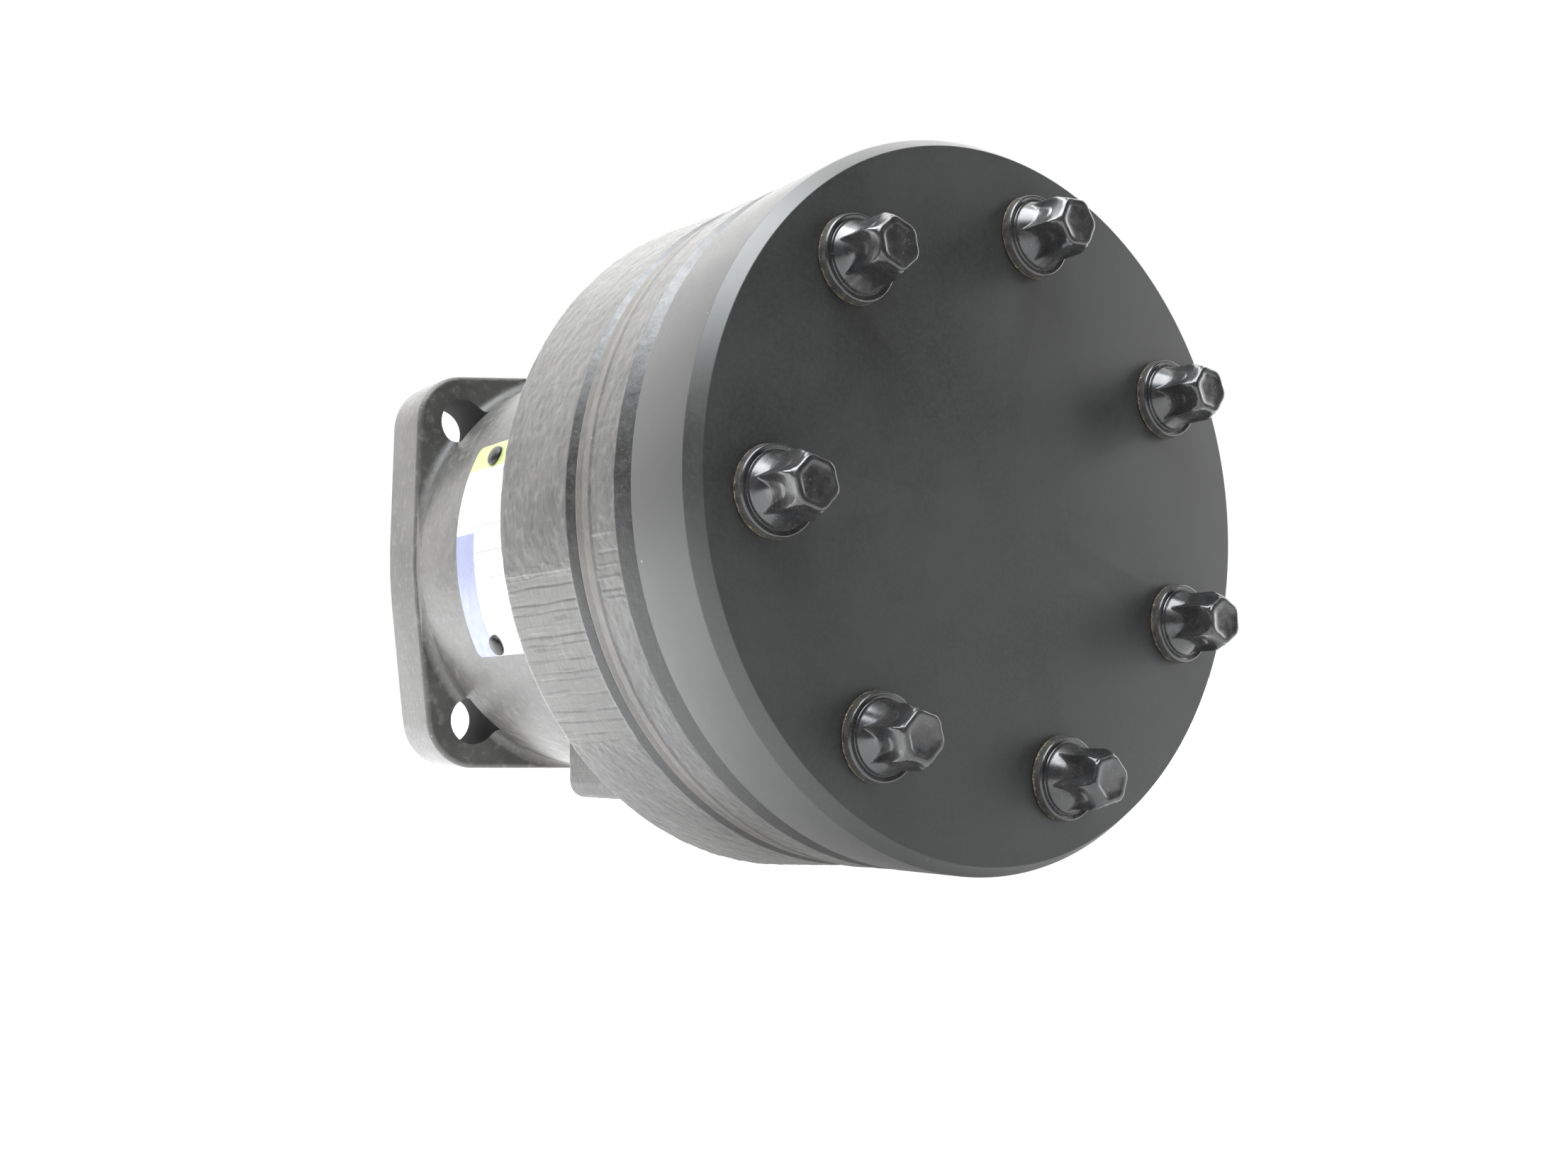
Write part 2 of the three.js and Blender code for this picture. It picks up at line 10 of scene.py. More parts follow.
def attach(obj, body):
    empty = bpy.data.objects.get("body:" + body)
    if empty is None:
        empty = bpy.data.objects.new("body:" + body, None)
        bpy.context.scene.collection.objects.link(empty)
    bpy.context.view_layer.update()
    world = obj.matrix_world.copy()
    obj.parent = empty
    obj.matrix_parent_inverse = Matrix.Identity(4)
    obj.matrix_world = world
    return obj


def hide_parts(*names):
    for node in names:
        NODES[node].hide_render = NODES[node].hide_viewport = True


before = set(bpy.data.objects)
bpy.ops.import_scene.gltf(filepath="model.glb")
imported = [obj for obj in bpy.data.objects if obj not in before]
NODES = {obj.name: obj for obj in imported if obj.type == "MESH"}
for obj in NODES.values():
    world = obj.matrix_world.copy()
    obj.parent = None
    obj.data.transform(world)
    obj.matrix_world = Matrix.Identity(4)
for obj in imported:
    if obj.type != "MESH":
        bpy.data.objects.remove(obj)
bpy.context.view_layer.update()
MM = 0.001
scene = bpy.context.scene

# ------------------------------------------------------------------ camera
cam_data = bpy.data.cameras.new("camera")
cam_data.sensor_fit = "HORIZONTAL"
cam_data.sensor_width = 36.0
cam_data.lens = 35.37
cam_data.clip_start, cam_data.clip_end = 0.01, 50.0
camera = bpy.data.objects.new("camera", cam_data)
scene.collection.objects.link(camera)
_p = Vector((-0.3739, 0.20795, -0.0325))
_r = Vector((-0.59929, -0.79926, -0.045056))
_u = Vector((-0.077443, 0.001865, 0.996995))
_f = Vector((0.796778, -0.600978, 0.063015))
camera.matrix_world = Matrix((
    (_r.x, _u.x, -_f.x, _p.x), (_r.y, _u.y, -_f.y, _p.y), (_r.z, _u.z, -_f.z, _p.z), (0, 0, 0, 1)))
scene.camera = camera
scene.view_settings.view_transform = "Standard"

# ------------------------------------------------------------- dimensions
BODY_R = 70.0
X_CAP, CAP_T, GAP, RING_T, PLATE_T = -167.8, 19.4, 0.2, 14.7, 5.6
X_RING = X_CAP + CAP_T + GAP
X_PLATE = X_RING + RING_T + GAP
X_HOUS = X_PLATE + PLATE_T + GAP
X_STEP = -101.0
HOUS_R0, HOUS_R1 = 70.2, 71.6
NECK_R0, NECK_R1 = 52.6, 51.7
FLANGE_T, FLANGE_S, FLANGE_A, FLANGE_CR = 16.2, 49.0, 52.35, 13.0
MOUNT_P, MOUNT_HR = 75.24 / 2, 6.1
PILOT_R, PILOT_H = 41.25, 3.0
PITCH = 2 * math.pi / 7
BOLT_PR, BOLT_HOLE_R = 54.0, 4.5
ROLL_PR, ROLL_R, ECC, RING_IN_R = 37.0, 7.0, 3.0, 37.2
SHAFT_R, SHAFT_END, JOURNAL_R, SPOOL_R, SPOOL_BORE_R = 15.875, 56.0, 17.5, 24.0, 24.3
X_SPOOL0, X_SPOOL1, X_SPL_FRONT, X_SPL_REAR = -124.0, -62.0, -84.0, -138.8
KEY_W = 7.94
PORTS = [(-86.0, 16.0), (-70.0, -16.0)]
PORT_Z, PORT_R = -56.5, 10.4
FLOOR_Z = -0.0719


# ---------------------------------------------------------- mesh helpers
def hash3(i, j, k):
    n = (i * 73856093) ^ (j * 19349663) ^ (k * 83492791)
    n = (n ^ (n >> 13)) * 1274126177
    n = n ^ (n >> 16)
    return (n & 0xFFFFF) / float(0xFFFFF)


def vnoise(p):
    """Smooth lattice noise in 0..1 at points p (N, 3)."""
    i = np.floor(p).astype(np.int64)
    f = p - i
    u = f * f * (3 - 2 * f)
    out = np.zeros(len(p))
    for a in (0, 1):
        for b in (0, 1):
            for c in (0, 1):
                w = ((u[:, 0] if a else 1 - u[:, 0]) * (u[:, 1] if b else 1 - u[:, 1]) * (u[:, 2] if c else 1 - u[:, 2]))
                out += w * hash3(i[:, 0] + a, i[:, 1] + b, i[:, 2] + c)
    return out


def fractal(p, scale, octaves=3, gain=0.5, seed=0.0):
    q = p * scale + seed
    total, amp, out = 0.0, 1.0, np.zeros(len(p))
    for _ in range(octaves):
        out += amp * (vnoise(q) - 0.5)
        total += amp
        amp *= gain
        q = q * 2.03 + 17.1
    return out / total * 2


def smoothstep(a, b, x):
    t = np.clip((x - a) / (b - a), 0, 1)
    return t * t * (3 - 2 * t)


def make(name, verts, faces, sharp=34.0):
    """A mesh object from points in millimetres, facing outwards. The sharp argument is not used."""
    me = bpy.data.meshes.new(name)
    me.from_pydata((np.asarray(verts, float) * MM).tolist(), [], faces)
    me.update()
    ob = bpy.data.objects.new(name, me)
    scene.collection.objects.link(ob)
    outward(ob)
    return ob


def outward(ob):
    bm = bmesh.new()
    bm.from_mesh(ob.data)
    if bm.calc_volume(signed=True) < 0:
        bmesh.ops.reverse_faces(bm, faces=bm.faces[:])
    bm.to_mesh(ob.data)
    bm.free()


def shade(ob, angle=34.0, weld=0.0):
    """Smooth shading, with the edges sharper than the angle marked sharp."""
    bm = bmesh.new()
    bm.from_mesh(ob.data)
    if weld:
        bmesh.ops.remove_doubles(bm, verts=bm.verts[:], dist=weld * MM)
        bmesh.ops.dissolve_degenerate(bm, dist=weld * MM * 0.5, edges=bm.edges[:])
    lim = math.radians(angle)
    for f in bm.faces:
        f.smooth = True
    for e in bm.edges:
        if len(e.link_faces) == 2:
            e.smooth = e.calc_face_angle(0.0) < lim
    bm.to_mesh(ob.data)
    bm.free()
    return ob


def rounded(points, radii, n=5):
    """A profile with its corners rounded: one radius for each point, 0 for none."""
    out = []
    N = len(points)
    for i, (pt, rad) in enumerate(zip(points, radii)):
        p = np.array(pt, float)
        if rad <= 0 or i == 0 or i == N - 1:
            out.append(tuple(p))
            continue
        a, b = np.array(points[i - 1], float), np.array(points[i + 1], float)
        ua, ub = a - p, b - p
        la, lb = np.linalg.norm(ua), np.linalg.norm(ub)
        ua, ub = ua / la, ub / lb
        ang = math.acos(max(-1, min(1, float(ua @ ub))))
        if ang > math.pi - 0.01:
            out.append(tuple(p))
            continue
        d = min(rad / math.tan(ang / 2), la * 0.48, lb * 0.48)
        r = d * math.tan(ang / 2)
        bis = (ua + ub) / np.linalg.norm(ua + ub)
        c = p + bis * (r / math.sin(ang / 2))
        s, e = p + ua * d - c, p + ub * d - c
        a0, a1 = math.atan2(s[1], s[0]), math.atan2(e[1], e[0])
        da = (a1 - a0 + math.pi) % (2 * math.pi) - math.pi
        for k in range(n + 1):
            t = a0 + da * k / n
            out.append((c[0] + r * math.cos(t), c[1] + r * math.sin(t)))
    return out


def refine(points, x0, x1, rmin, step):
    """Adds points along the profile's stretches between x0 and x1 above radius rmin."""
    out = [points[0]]
    for a, b in zip(points, points[1:]):
        inside = min(a[0], b[0]) >= x0 - 1e-6 and max(a[0], b[0]) <= x1 + 1e-6 and min(a[1], b[1]) >= rmin
        n = max(1, int(math.ceil(math.hypot(b[0] - a[0], b[1] - a[1]) / step))) if inside else 1
        for k in range(1, n + 1):
            out.append((a[0] + (b[0] - a[0]) * k / n, a[1] + (b[1] - a[1]) * k / n))
    return out


def lathe_data(profile, phis, disp=None):
    """Body of revolution about X. The profile runs axis to axis, or closes on itself."""
    pr = [(float(x), max(float(r), 0.0)) for x, r in profile]
    solid = pr[0][1] < 1e-9
    phis = np.asarray(phis, float)
    n = len(phis)
    body = pr[1:-1] if solid else pr
    verts, faces = [], []
    for x, r in body:
        X = np.full(n, x)
        R = np.full(n, r)
        if disp is not None:
            R = R + disp(X, phis, R)
        verts.append(np.stack([X, R * np.cos(phis), R * np.sin(phis)], 1))
    V = np.concatenate(verts)
    m = len(body)
    j = np.arange(n)
    j2 = (j + 1) % n
    rows = range(m - 1) if solid else range(m)
    for i in rows:
        a, b = i * n, ((i + 1) % m) * n
        faces += np.stack([a + j, b + j, b + j2, a + j2], 1).tolist()
    if solid:
        V = np.concatenate([V, [[pr[0][0], 0, 0], [pr[-1][0], 0, 0]]])
        c0, c1 = m * n, m * n + 1
        for k in range(n):
            faces.append([c0, k, (k + 1) % n])
            faces.append([c1, (m - 1) * n + (k + 1) % n, (m - 1) * n + k])
    return V, faces


def circle(n, start=0.0):
    return start + np.arange(n) * 2 * math.pi / n


def lathe(name, profile, seg=192, disp=None, phis=None):
    V, F = lathe_data(profile, circle(seg) if phis is None else phis, disp)
    return make(name, V, F)


def merge_data(parts):
    V, F, base = [], [], 0
    for v, f in parts:
        V.append(np.asarray(v, float))
        F += [[i + base for i in face] for face in f]
        base += len(v)
    return np.concatenate(V), F


def along(axis, V, at):
    """Turns points made about X so that X points along axis, and moves them."""
    q = Vector((1, 0, 0)).rotation_difference(Vector(axis).normalized())
    m = np.array(q.to_matrix())
    return np.asarray(V) @ m.T + np.asarray(at, float)


def rod_data(x0, x1, r, seg, y=0.0, z=0.0, start=0.0):
    V, F = lathe_data([(x0, 0), (x0, r), (x1, r), (x1, 0)], circle(seg, start))
    return V + np.array([0, y, z]), F


def prism_data(outline, x0, x1):
    """A closed outline in (Y, Z), pushed along X."""
    o = np.asarray(outline, float)
    n = len(o)
    V = np.concatenate([np.column_stack([np.full(n, x), o]) for x in (x0, x1)])
    F = [[i, (i + 1) % n, n + (i + 1) % n, n + i] for i in range(n)]
    F += [list(range(n))[::-1], list(range(n, 2 * n))]
    return V, F


def offset_outline(o, d):
    """Moves a closed counter-clockwise outline inwards by d."""
    o = np.asarray(o, float)
    e = np.roll(o, -1, 0) - o
    nrm = np.column_stack([e[:, 1], -e[:, 0]])
    nrm /= np.linalg.norm(nrm, axis=1)[:, None]
    m = nrm + np.roll(nrm, 1, 0)
    m /= np.maximum((m * nrm).sum(1), 1e-6)[:, None]
    return o - m * d


def stack_data(outline, levels):
    """Outline pushed along X in steps: levels are (x, inset). Both ends are closed."""
    rings = [np.column_stack([np.full(len(outline), x), offset_outline(outline, d) if d else np.asarray(outline)]) for x, d in levels]
    n = len(outline)
    V = np.concatenate(rings)
    F = []
    for i in range(len(levels) - 1):
        a, b = i * n, (i + 1) * n
        F += [[a + k, a + (k + 1) % n, b + (k + 1) % n, b + k] for k in range(n)]
    F += [list(range(n))[::-1], list(range((len(levels) - 1) * n, len(levels) * n))]
    return V, F


def boolean(ob, steps):
    """steps: list of (operation, object). The other objects are removed."""
    for op, other in steps:
        md = ob.modifiers.new("b", "BOOLEAN")
        md.object, md.operation, md.solver = other, op, "MANIFOLD"
    bpy.context.view_layer.update()
    dg = bpy.context.evaluated_depsgraph_get()
    new = bpy.data.meshes.new_from_object(ob.evaluated_get(dg))
    ob.modifiers.clear()
    old = ob.data
    ob.data = new
    new.name = ob.name
    bpy.data.meshes.remove(old)
    for _, other in steps:
        m = other.data
        bpy.data.objects.remove(other)
        bpy.data.meshes.remove(m)
    return ob


def polar(r, a):
    return r * math.cos(a), r * math.sin(a)


def tool(parts, name="tool"):
    V, F = merge_data(parts)
    return make(name, V, F)


def weigh(ob):
    """Face normals weighted by area, so that large flat faces shade flat up to their rounded edges."""
    md = ob.modifiers.new("w", "WEIGHTED_NORMAL")
    md.keep_sharp = True
    md.weight = 60
    bpy.context.view_layer.update()
    new = bpy.data.meshes.new_from_object(ob.evaluated_get(bpy.context.evaluated_depsgraph_get()))
    ob.modifiers.clear()
    old = ob.data
    name = old.name
    ob.data = new
    bpy.data.meshes.remove(old)
    new.name = name


def piece(ob, nodes, body, mats, pick=None, angle=34.0, weld=0.004, flat=False):
    """Finishes a piece: shading, materials, body, slot and the CAD nodes it stands for."""
    shade(ob, angle, weld)
    if flat:
        weigh(ob)
    ob.data.materials.clear()
    for m in mats:
        ob.data.materials.append(m)
    ob.data.polygons.foreach_set("material_index", np.zeros(len(ob.data.polygons), np.int32))
    if pick is not None:
        me = ob.data
        n = len(me.polygons)
        c = np.zeros(n * 3)
        me.polygons.foreach_get("center", c)
        nm = np.zeros(n * 3)
        me.polygons.foreach_get("normal", nm)
        idx = pick(c.reshape(-1, 3) / MM, nm.reshape(-1, 3)).astype(np.int32)
        me.polygons.foreach_set("material_index", idx)
    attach(ob, body)
    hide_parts(*nodes)
    return ob


# -------------------------------------------------------------- materials
class Mat:
    """A small builder for node materials, in object coordinates."""

    def __init__(self, name, **sockets):
        self.m = bpy.data.materials.new(name)
        self.m.use_nodes = True
        self.t = self.m.node_tree
        self.t.nodes.clear()
        self.out = self.t.nodes.new("ShaderNodeOutputMaterial")
        self.b = self.t.nodes.new("ShaderNodeBsdfPrincipled")
        self.t.links.new(self.b.outputs[0], self.out.inputs[0])
        for k, v in sockets.items():
            self.b.inputs[k.replace("_", " ")].default_value = v
        tc = self.t.nodes.new("ShaderNodeTexCoord")
        self.co = tc.outputs["Object"]
        self.colour = None

    def n(self, kind, **kw):
        nd = self.t.nodes.new("ShaderNode" + kind)
        for k, v in kw.items():
            setattr(nd, k, v)
        return nd

    def set(self, sock, v):
        if isinstance(v, bpy.types.NodeSocket):
            self.t.links.new(v, sock)
        else:
            sock.default_value = v

    def scaled(self, sx, sy, sz):
        mp = self.n("Mapping")
        self.t.links.new(self.co, mp.inputs["Vector"])
        mp.inputs["Scale"].default_value = (sx, sy, sz)
        return mp.outputs[0]

    def noise(self, scale, detail=3.0, rough=0.55, vec=None, dist=0.0):
        nd = self.n("TexNoise")
        self.set(nd.inputs["Vector"], vec if vec is not None else self.co)
        nd.inputs["Scale"].default_value = scale
        nd.inputs["Detail"].default_value = detail
        nd.inputs["Roughness"].default_value = rough
        nd.inputs["Distortion"].default_value = dist
        return nd.outputs["Fac"]

    def voronoi(self, scale, vec=None, rnd=1.0):
        nd = self.n("TexVoronoi")
        self.set(nd.inputs["Vector"], vec if vec is not None else self.co)
        nd.inputs["Scale"].default_value = scale
        nd.inputs["Randomness"].default_value = rnd
        return nd

    def math(self, op, a, b=0.0, c=0.0, clamp=False):
        nd = self.n("Math", operation=op, use_clamp=clamp)
        self.set(nd.inputs[0], a)
        self.set(nd.inputs[1], b)
        if op in ("MULTIPLY_ADD", "SMOOTH_MIN", "SMOOTH_MAX", "WRAP"):
            self.set(nd.inputs[2], c)
        return nd.outputs[0]

    def rng(self, v, a, b, c=0.0, d=1.0, kind="SMOOTHSTEP"):
        nd = self.n("MapRange", interpolation_type=kind)
        self.set(nd.inputs["Value"], v)
        for s, x in zip(("From Min", "From Max", "To Min", "To Max"), (a, b, c, d)):
            nd.inputs[s].default_value = x
        return nd.outputs["Result"]

    def mix(self, f, a, b, blend="MIX"):
        nd = self.n("Mix", data_type="RGBA", blend_type=blend)
        self.set(nd.inputs["Factor"], f)
        self.set(nd.inputs["A"], (*a, 1.0) if isinstance(a, tuple) else a)
        self.set(nd.inputs["B"], (*b, 1.0) if isinstance(b, tuple) else b)
        # the colour sockets of a Mix node share their names with its number sockets
        for s in nd.inputs:
            if s.type == "RGBA" and s.identifier.startswith("A_"):
                self.set(s, (*a, 1.0) if isinstance(a, tuple) else a)
            if s.type == "RGBA" and s.identifier.startswith("B_"):
                self.set(s, (*b, 1.0) if isinstance(b, tuple) else b)
        return [o for o in nd.outputs if o.type == "RGBA"][0]

    def xyz(self):
        nd = self.n("SeparateXYZ")
        self.t.links.new(self.co, nd.inputs[0])
        return nd.outputs[0], nd.outputs[1], nd.outputs[2]

    def angle(self):
        """Angle about X in degrees, 0 on the +Y side, rising towards +Z."""
        x, y, z = self.xyz()
        return self.math("MULTIPLY", self.math("ARCTAN2", z, y), 180 / math.pi)

    def base(self, c):
        self.set(self.b.inputs["Base Color"], (*c, 1.0) if isinstance(c, tuple) else c)

    def rough(self, r):
        self.set(self.b.inputs["Roughness"], r)

    def bump(self, *layers):
        """layers: (height socket, distance in mm, strength)."""
        prev = None
        for h, dist, strength in layers:
            nd = self.n("Bump")
            nd.inputs["Distance"].default_value = dist * MM
            nd.inputs["Strength"].default_value = strength
            self.set(nd.inputs["Height"], h)
            if prev is not None:
                self.t.links.new(prev, nd.inputs["Normal"])
            prev = nd.outputs[0]
        self.t.links.new(prev, self.b.inputs["Normal"])


def specks(M, scale, size, seed_scale=(1, 1, 1), share=0.25):
    """Sparse round specks: 1 inside a speck."""
    v = M.voronoi(scale, M.scaled(*seed_scale))
    near = M.rng(v.outputs["Distance"], size, size * 0.55)
    sep = M.n("SeparateColor")
    M.t.links.new(v.outputs["Color"], sep.inputs[0])
    some = M.math("LESS_THAN", sep.outputs[0], share)
    return M.math("MULTIPLY", near, some)


GROUND_MARKS = [(-8.2, 0.10, 0.16), (-9.6, -0.10, 0.2), (-12.2, -0.12, 0.2), (-13.6, -0.10, 0.16), (-15.9, 0.07, 0.2), (-17.4, -0.12, 0.2), (-18.7, -0.10, 0.2),
                (-21.3, -0.12, 0.18), (-23.4, -0.12, 0.18), (-24.5, -0.10, 0.2), (-27.3, -0.12, 0.2), (-29.0, 0.06, 0.2), (-30.2, -0.12, 0.2), (-32.1, -0.10, 0.2),
                (-34.4, -0.08, 0.2)]


def mat_cap(name="cap_paint", ior=1.5, rough=(0.40, 0.52)):
    M = Mat(name, Metallic=0.0, IOR=ior)
    big = M.noise(38, 4, 0.6)
    fine = M.noise(1500, 3, 0.6)
    c = M.mix(M.rng(big, 0.3, 0.7), (0.0165, 0.0175, 0.0168), (0.0245, 0.0255, 0.0240))
    c = M.mix(M.math("MULTIPLY", M.rng(fine, 0.35, 0.75), 0.5), c, (0.034, 0.0355, 0.033))
    dust = M.math("ADD", specks(M, 300, 0.09, share=0.04), specks(M, 640, 0.12, (1, 1.3, 0.8), 0.03), clamp=True)
    c = M.mix(M.math("MULTIPLY", dust, 0.45), c, (0.34, 0.33, 0.28))
    M.base(c)
    M.rough(M.rng(M.math("ADD", M.math("MULTIPLY", big, 0.6), M.math("MULTIPLY", fine, 0.4)), 0.3, 0.7, *rough))
    M.bump((M.noise(700, 2, 0.5), 0.02, 0.35), (fine, 0.012, 0.5))
    return M.m


def mat_cast(name, tone=1.0, ground=False, brown=0.0, ior=1.5):
    M = Mat(name, Metallic=0.0, IOR=ior)
    big = M.noise(45, 4, 0.62)
    mid = M.noise(420, 4, 0.6)
    fine = M.noise(1700, 3, 0.6)
    lo = tuple(tone * v for v in (0.039, 0.038, 0.036))
    hi = tuple(tone * v for v in (0.067, 0.065, 0.062))
    c = M.mix(M.rng(big, 0.32, 0.68), lo, hi)
    c = M.mix(M.math("MULTIPLY", M.rng(mid, 0.5, 0.72), 0.55), c, tuple(tone * v for v in (0.125, 0.120, 0.112)))
    c = M.mix(M.math("MULTIPLY", M.rng(fine, 0.55, 0.8), 0.35), c, (0.16, 0.155, 0.145))
    if brown:
        c = M.mix(M.math("MULTIPLY", M.rng(M.noise(140, 4, 0.65, M.scaled(0.35, 1, 1)), 0.35, 0.65), brown), c, (0.075, 0.064, 0.052))
    dust = specks(M, 380, 0.09, share=0.05)
    c = M.mix(M.math("MULTIPLY", dust, 0.4), c, (0.40, 0.37, 0.30))
    rough = M.rng(M.math("ADD", M.math("MULTIPLY", mid, 0.6), M.math("MULTIPLY", fine, 0.4)), 0.3, 0.7, 0.36, 0.52)
    peel = M.noise(1.0, 3, 0.55, M.scaled(900.0, 430.0, 430.0))
    layers = [(peel, 0.15, 0.6), (fine, 0.025, 0.5)]
    if ground:
        ang = M.angle()
        x, y, z = M.xyz()
        wob = M.math("MULTIPLY", M.noise(60, 2, 0.5, M.scaled(1.0, 0.3, 0.3)), 2.2)
        a2 = M.math("ADD", ang, wob)
        zone = M.math("MULTIPLY", M.rng(a2, -36.5, -34.0), M.rng(a2, -5.5, -7.3))
        zone = M.math("MULTIPLY", zone, M.rng(x, -0.1260, -0.1254))
        zone = M.math("MULTIPLY", zone, M.rng(x, -0.1009, -0.1020))
        streak = M.noise(1.0, 3, 0.65, M.scaled(9.0, 900.0, 900.0))
        c = M.mix(M.math("MULTIPLY", zone, 0.5), c, (0.090, 0.087, 0.080))
        lines = None
        bend = M.math("MULTIPLY", M.math("SUBTRACT", M.noise(70, 2, 0.5, M.scaled(1.0, 0.15, 0.15)), 0.5), 0.9)
        a3 = M.math("ADD", ang, bend)
        for a0, h, s_ in GROUND_MARKS:
            if h > 0:
                continue
            one = M.rng(M.math("ABSOLUTE", M.math("SUBTRACT", a3, a0)), 0.34, 0.04)
            lines = one if lines is None else M.math("MAXIMUM", lines, one)
        cut = M.rng(M.noise(1.0, 3, 0.6, M.scaled(95.0, 240.0, 240.0)), 0.36, 0.58)
        c = M.mix(M.math("MULTIPLY", M.math("MULTIPLY", zone, cut), M.math("MULTIPLY", lines, 0.72)), c, (0.018, 0.018, 0.019))
        c = M.mix(M.math("MULTIPLY", zone, M.rng(streak, 0.44, 0.30, 0.0, 0.75)), c, (0.026, 0.026, 0.027))
        c = M.mix(M.math("MULTIPLY", zone, M.rng(streak, 0.56, 0.72, 0.0, 0.6)), c, (0.16, 0.155, 0.142))
        layers.append((streak, 0.06, 0.5))
        first = M.rng(M.math("ABSOLUTE", M.math("ADD", a3, 7.6)), 0.22, 0.05)
        wide = M.math("MULTIPLY", M.rng(x, -0.1264, -0.1258), M.rng(x, -0.1011, -0.1017))
        c = M.mix(M.math("MULTIPLY", first, M.math("MULTIPLY", wide, 0.45)), c, (0.20, 0.195, 0.18))
    M.base(c)
    M.rough(rough)
    M.bump(*layers)
    return M.m


def mat_bolt():
    M = Mat("bolt_gloss", Metallic=0.0, IOR=1.7, Coat_Weight=0.2, Coat_Roughness=0.16)
    fine = M.noise(900, 3, 0.6)
    c = M.mix(M.rng(M.noise(240, 4, 0.6), 0.35, 0.7), (0.016, 0.016, 0.017), (0.034, 0.032, 0.031))
    dust = M.math("ADD", specks(M, 1400, 0.2, share=0.06), M.math("MULTIPLY", M.rng(fine, 0.66, 0.8), 0.2), clamp=True)
    c = M.mix(M.math("MULTIPLY", dust, 0.45), c, (0.30, 0.26, 0.19))
    M.base(c)
    M.rough(M.rng(M.noise(500, 3, 0.6), 0.3, 0.75, 0.20, 0.34))
    M.bump((M.noise(300, 2, 0.5), 0.012, 0.2), (fine, 0.003, 0.2))
    return M.m


def mat_bolt_dust():
    M = Mat("bolt_dusty_rim", Metallic=0.0, IOR=1.5)
    a = M.noise(700, 5, 0.7)
    g = M.noise(2300, 2, 0.6)
    c = M.mix(M.rng(a, 0.40, 0.64), (0.026, 0.026, 0.025), (0.060, 0.056, 0.048))
    x, y, z = M.xyz()
    low = M.rng(M.math("ADD", x, M.math("MULTIPLY", M.math("SUBTRACT", a, 0.5), 0.0016)), (X_CAP - 0.75) * MM, (X_CAP - 0.25) * MM)
    c = M.mix(M.math("MULTIPLY", low, 0.75), c, (0.16, 0.132, 0.085))
    c = M.mix(M.math("MULTIPLY", M.math("MULTIPLY", low, M.rng(g, 0.56, 0.66)), 0.9), c, (0.60, 0.53, 0.37))
    M.base(c)
    M.rough(M.rng(a, 0.3, 0.6, 0.45, 0.85))
    M.bump((a, 0.10, 0.8), (g, 0.05, 0.8))
    return M.m


def mat_steel(name, colour, rough=(0.16, 0.32), lines=None, metal=1.0):
    """Bare steel; lines is the turning pitch across X, in lines per metre."""
    M = Mat(name, Metallic=metal)
    big = M.noise(60, 4, 0.6)
    c = M.mix(M.rng(big, 0.3, 0.7), tuple(v * 0.86 for v in colour), colour)
    spot = M.rng(M.noise(210, 5, 0.7), 0.62, 0.74)
    c = M.mix(M.math("MULTIPLY", spot, 0.35), c, tuple(v * 0.5 for v in colour))
    M.base(c)
    if lines:
        fine = M.noise(1.0, 2, 0.6, M.scaled(lines, 14.0, 14.0))
    else:
        fine = M.noise(900, 3, 0.6)
    M.rough(M.rng(M.math("ADD", M.math("MULTIPLY", fine, 0.6), M.math("MULTIPLY", big, 0.4)), 0.3, 0.7, *rough))
    M.bump((fine, 0.006, 0.5))
    return M.m


def mat_rubber():
    M = Mat("seal_rubber", Metallic=0.0, IOR=1.48)
    a = M.noise(300, 4, 0.6)
    c = M.mix(M.rng(a, 0.35, 0.7), (0.014, 0.014, 0.015), (0.032, 0.031, 0.030))
    M.base(c)
    M.rough(M.rng(a, 0.3, 0.7, 0.55, 0.75))
    M.bump((M.noise(1600, 3, 0.6), 0.02, 0.5))
    return M.m


def mat_oxide():
    M = Mat("black_oxide", Metallic=0.6)
    a = M.noise(420, 4, 0.65)
    c = M.mix(M.rng(a, 0.35, 0.7), (0.016, 0.016, 0.017), (0.050, 0.048, 0.046))
    M.base(c)
    M.rough(M.rng(a, 0.3, 0.7, 0.34, 0.52))
    M.bump((M.noise(1300, 3, 0.6), 0.015, 0.5))
    return M.m


def mat_hole():
    """Rough drilled wall with thin black paint in it."""
    M = Mat("hole_wall", Metallic=0.0, IOR=1.25)
    a = M.noise(1.0, 3, 0.6, M.scaled(1500.0, 60.0, 60.0))
    c = M.mix(M.rng(a, 0.35, 0.65), (0.012, 0.012, 0.013), (0.030, 0.029, 0.028))
    M.base(c)
    M.rough(M.rng(a, 0.3, 0.7, 0.8, 0.95))
    M.bump((a, 0.03, 0.5))
    return M.m


def mat_bare_iron():
    M = Mat("machined_iron", Metallic=1.0)
    a = M.noise(130, 5, 0.65)
    c = M.mix(M.rng(a, 0.3, 0.7), (0.26, 0.255, 0.245), (0.40, 0.395, 0.385))
    M.base(c)
    M.rough(M.rng(M.noise(900, 3, 0.6), 0.3, 0.7, 0.30, 0.46))
    M.bump((M.noise(1100, 3, 0.6), 0.012, 0.5))
    return M.m


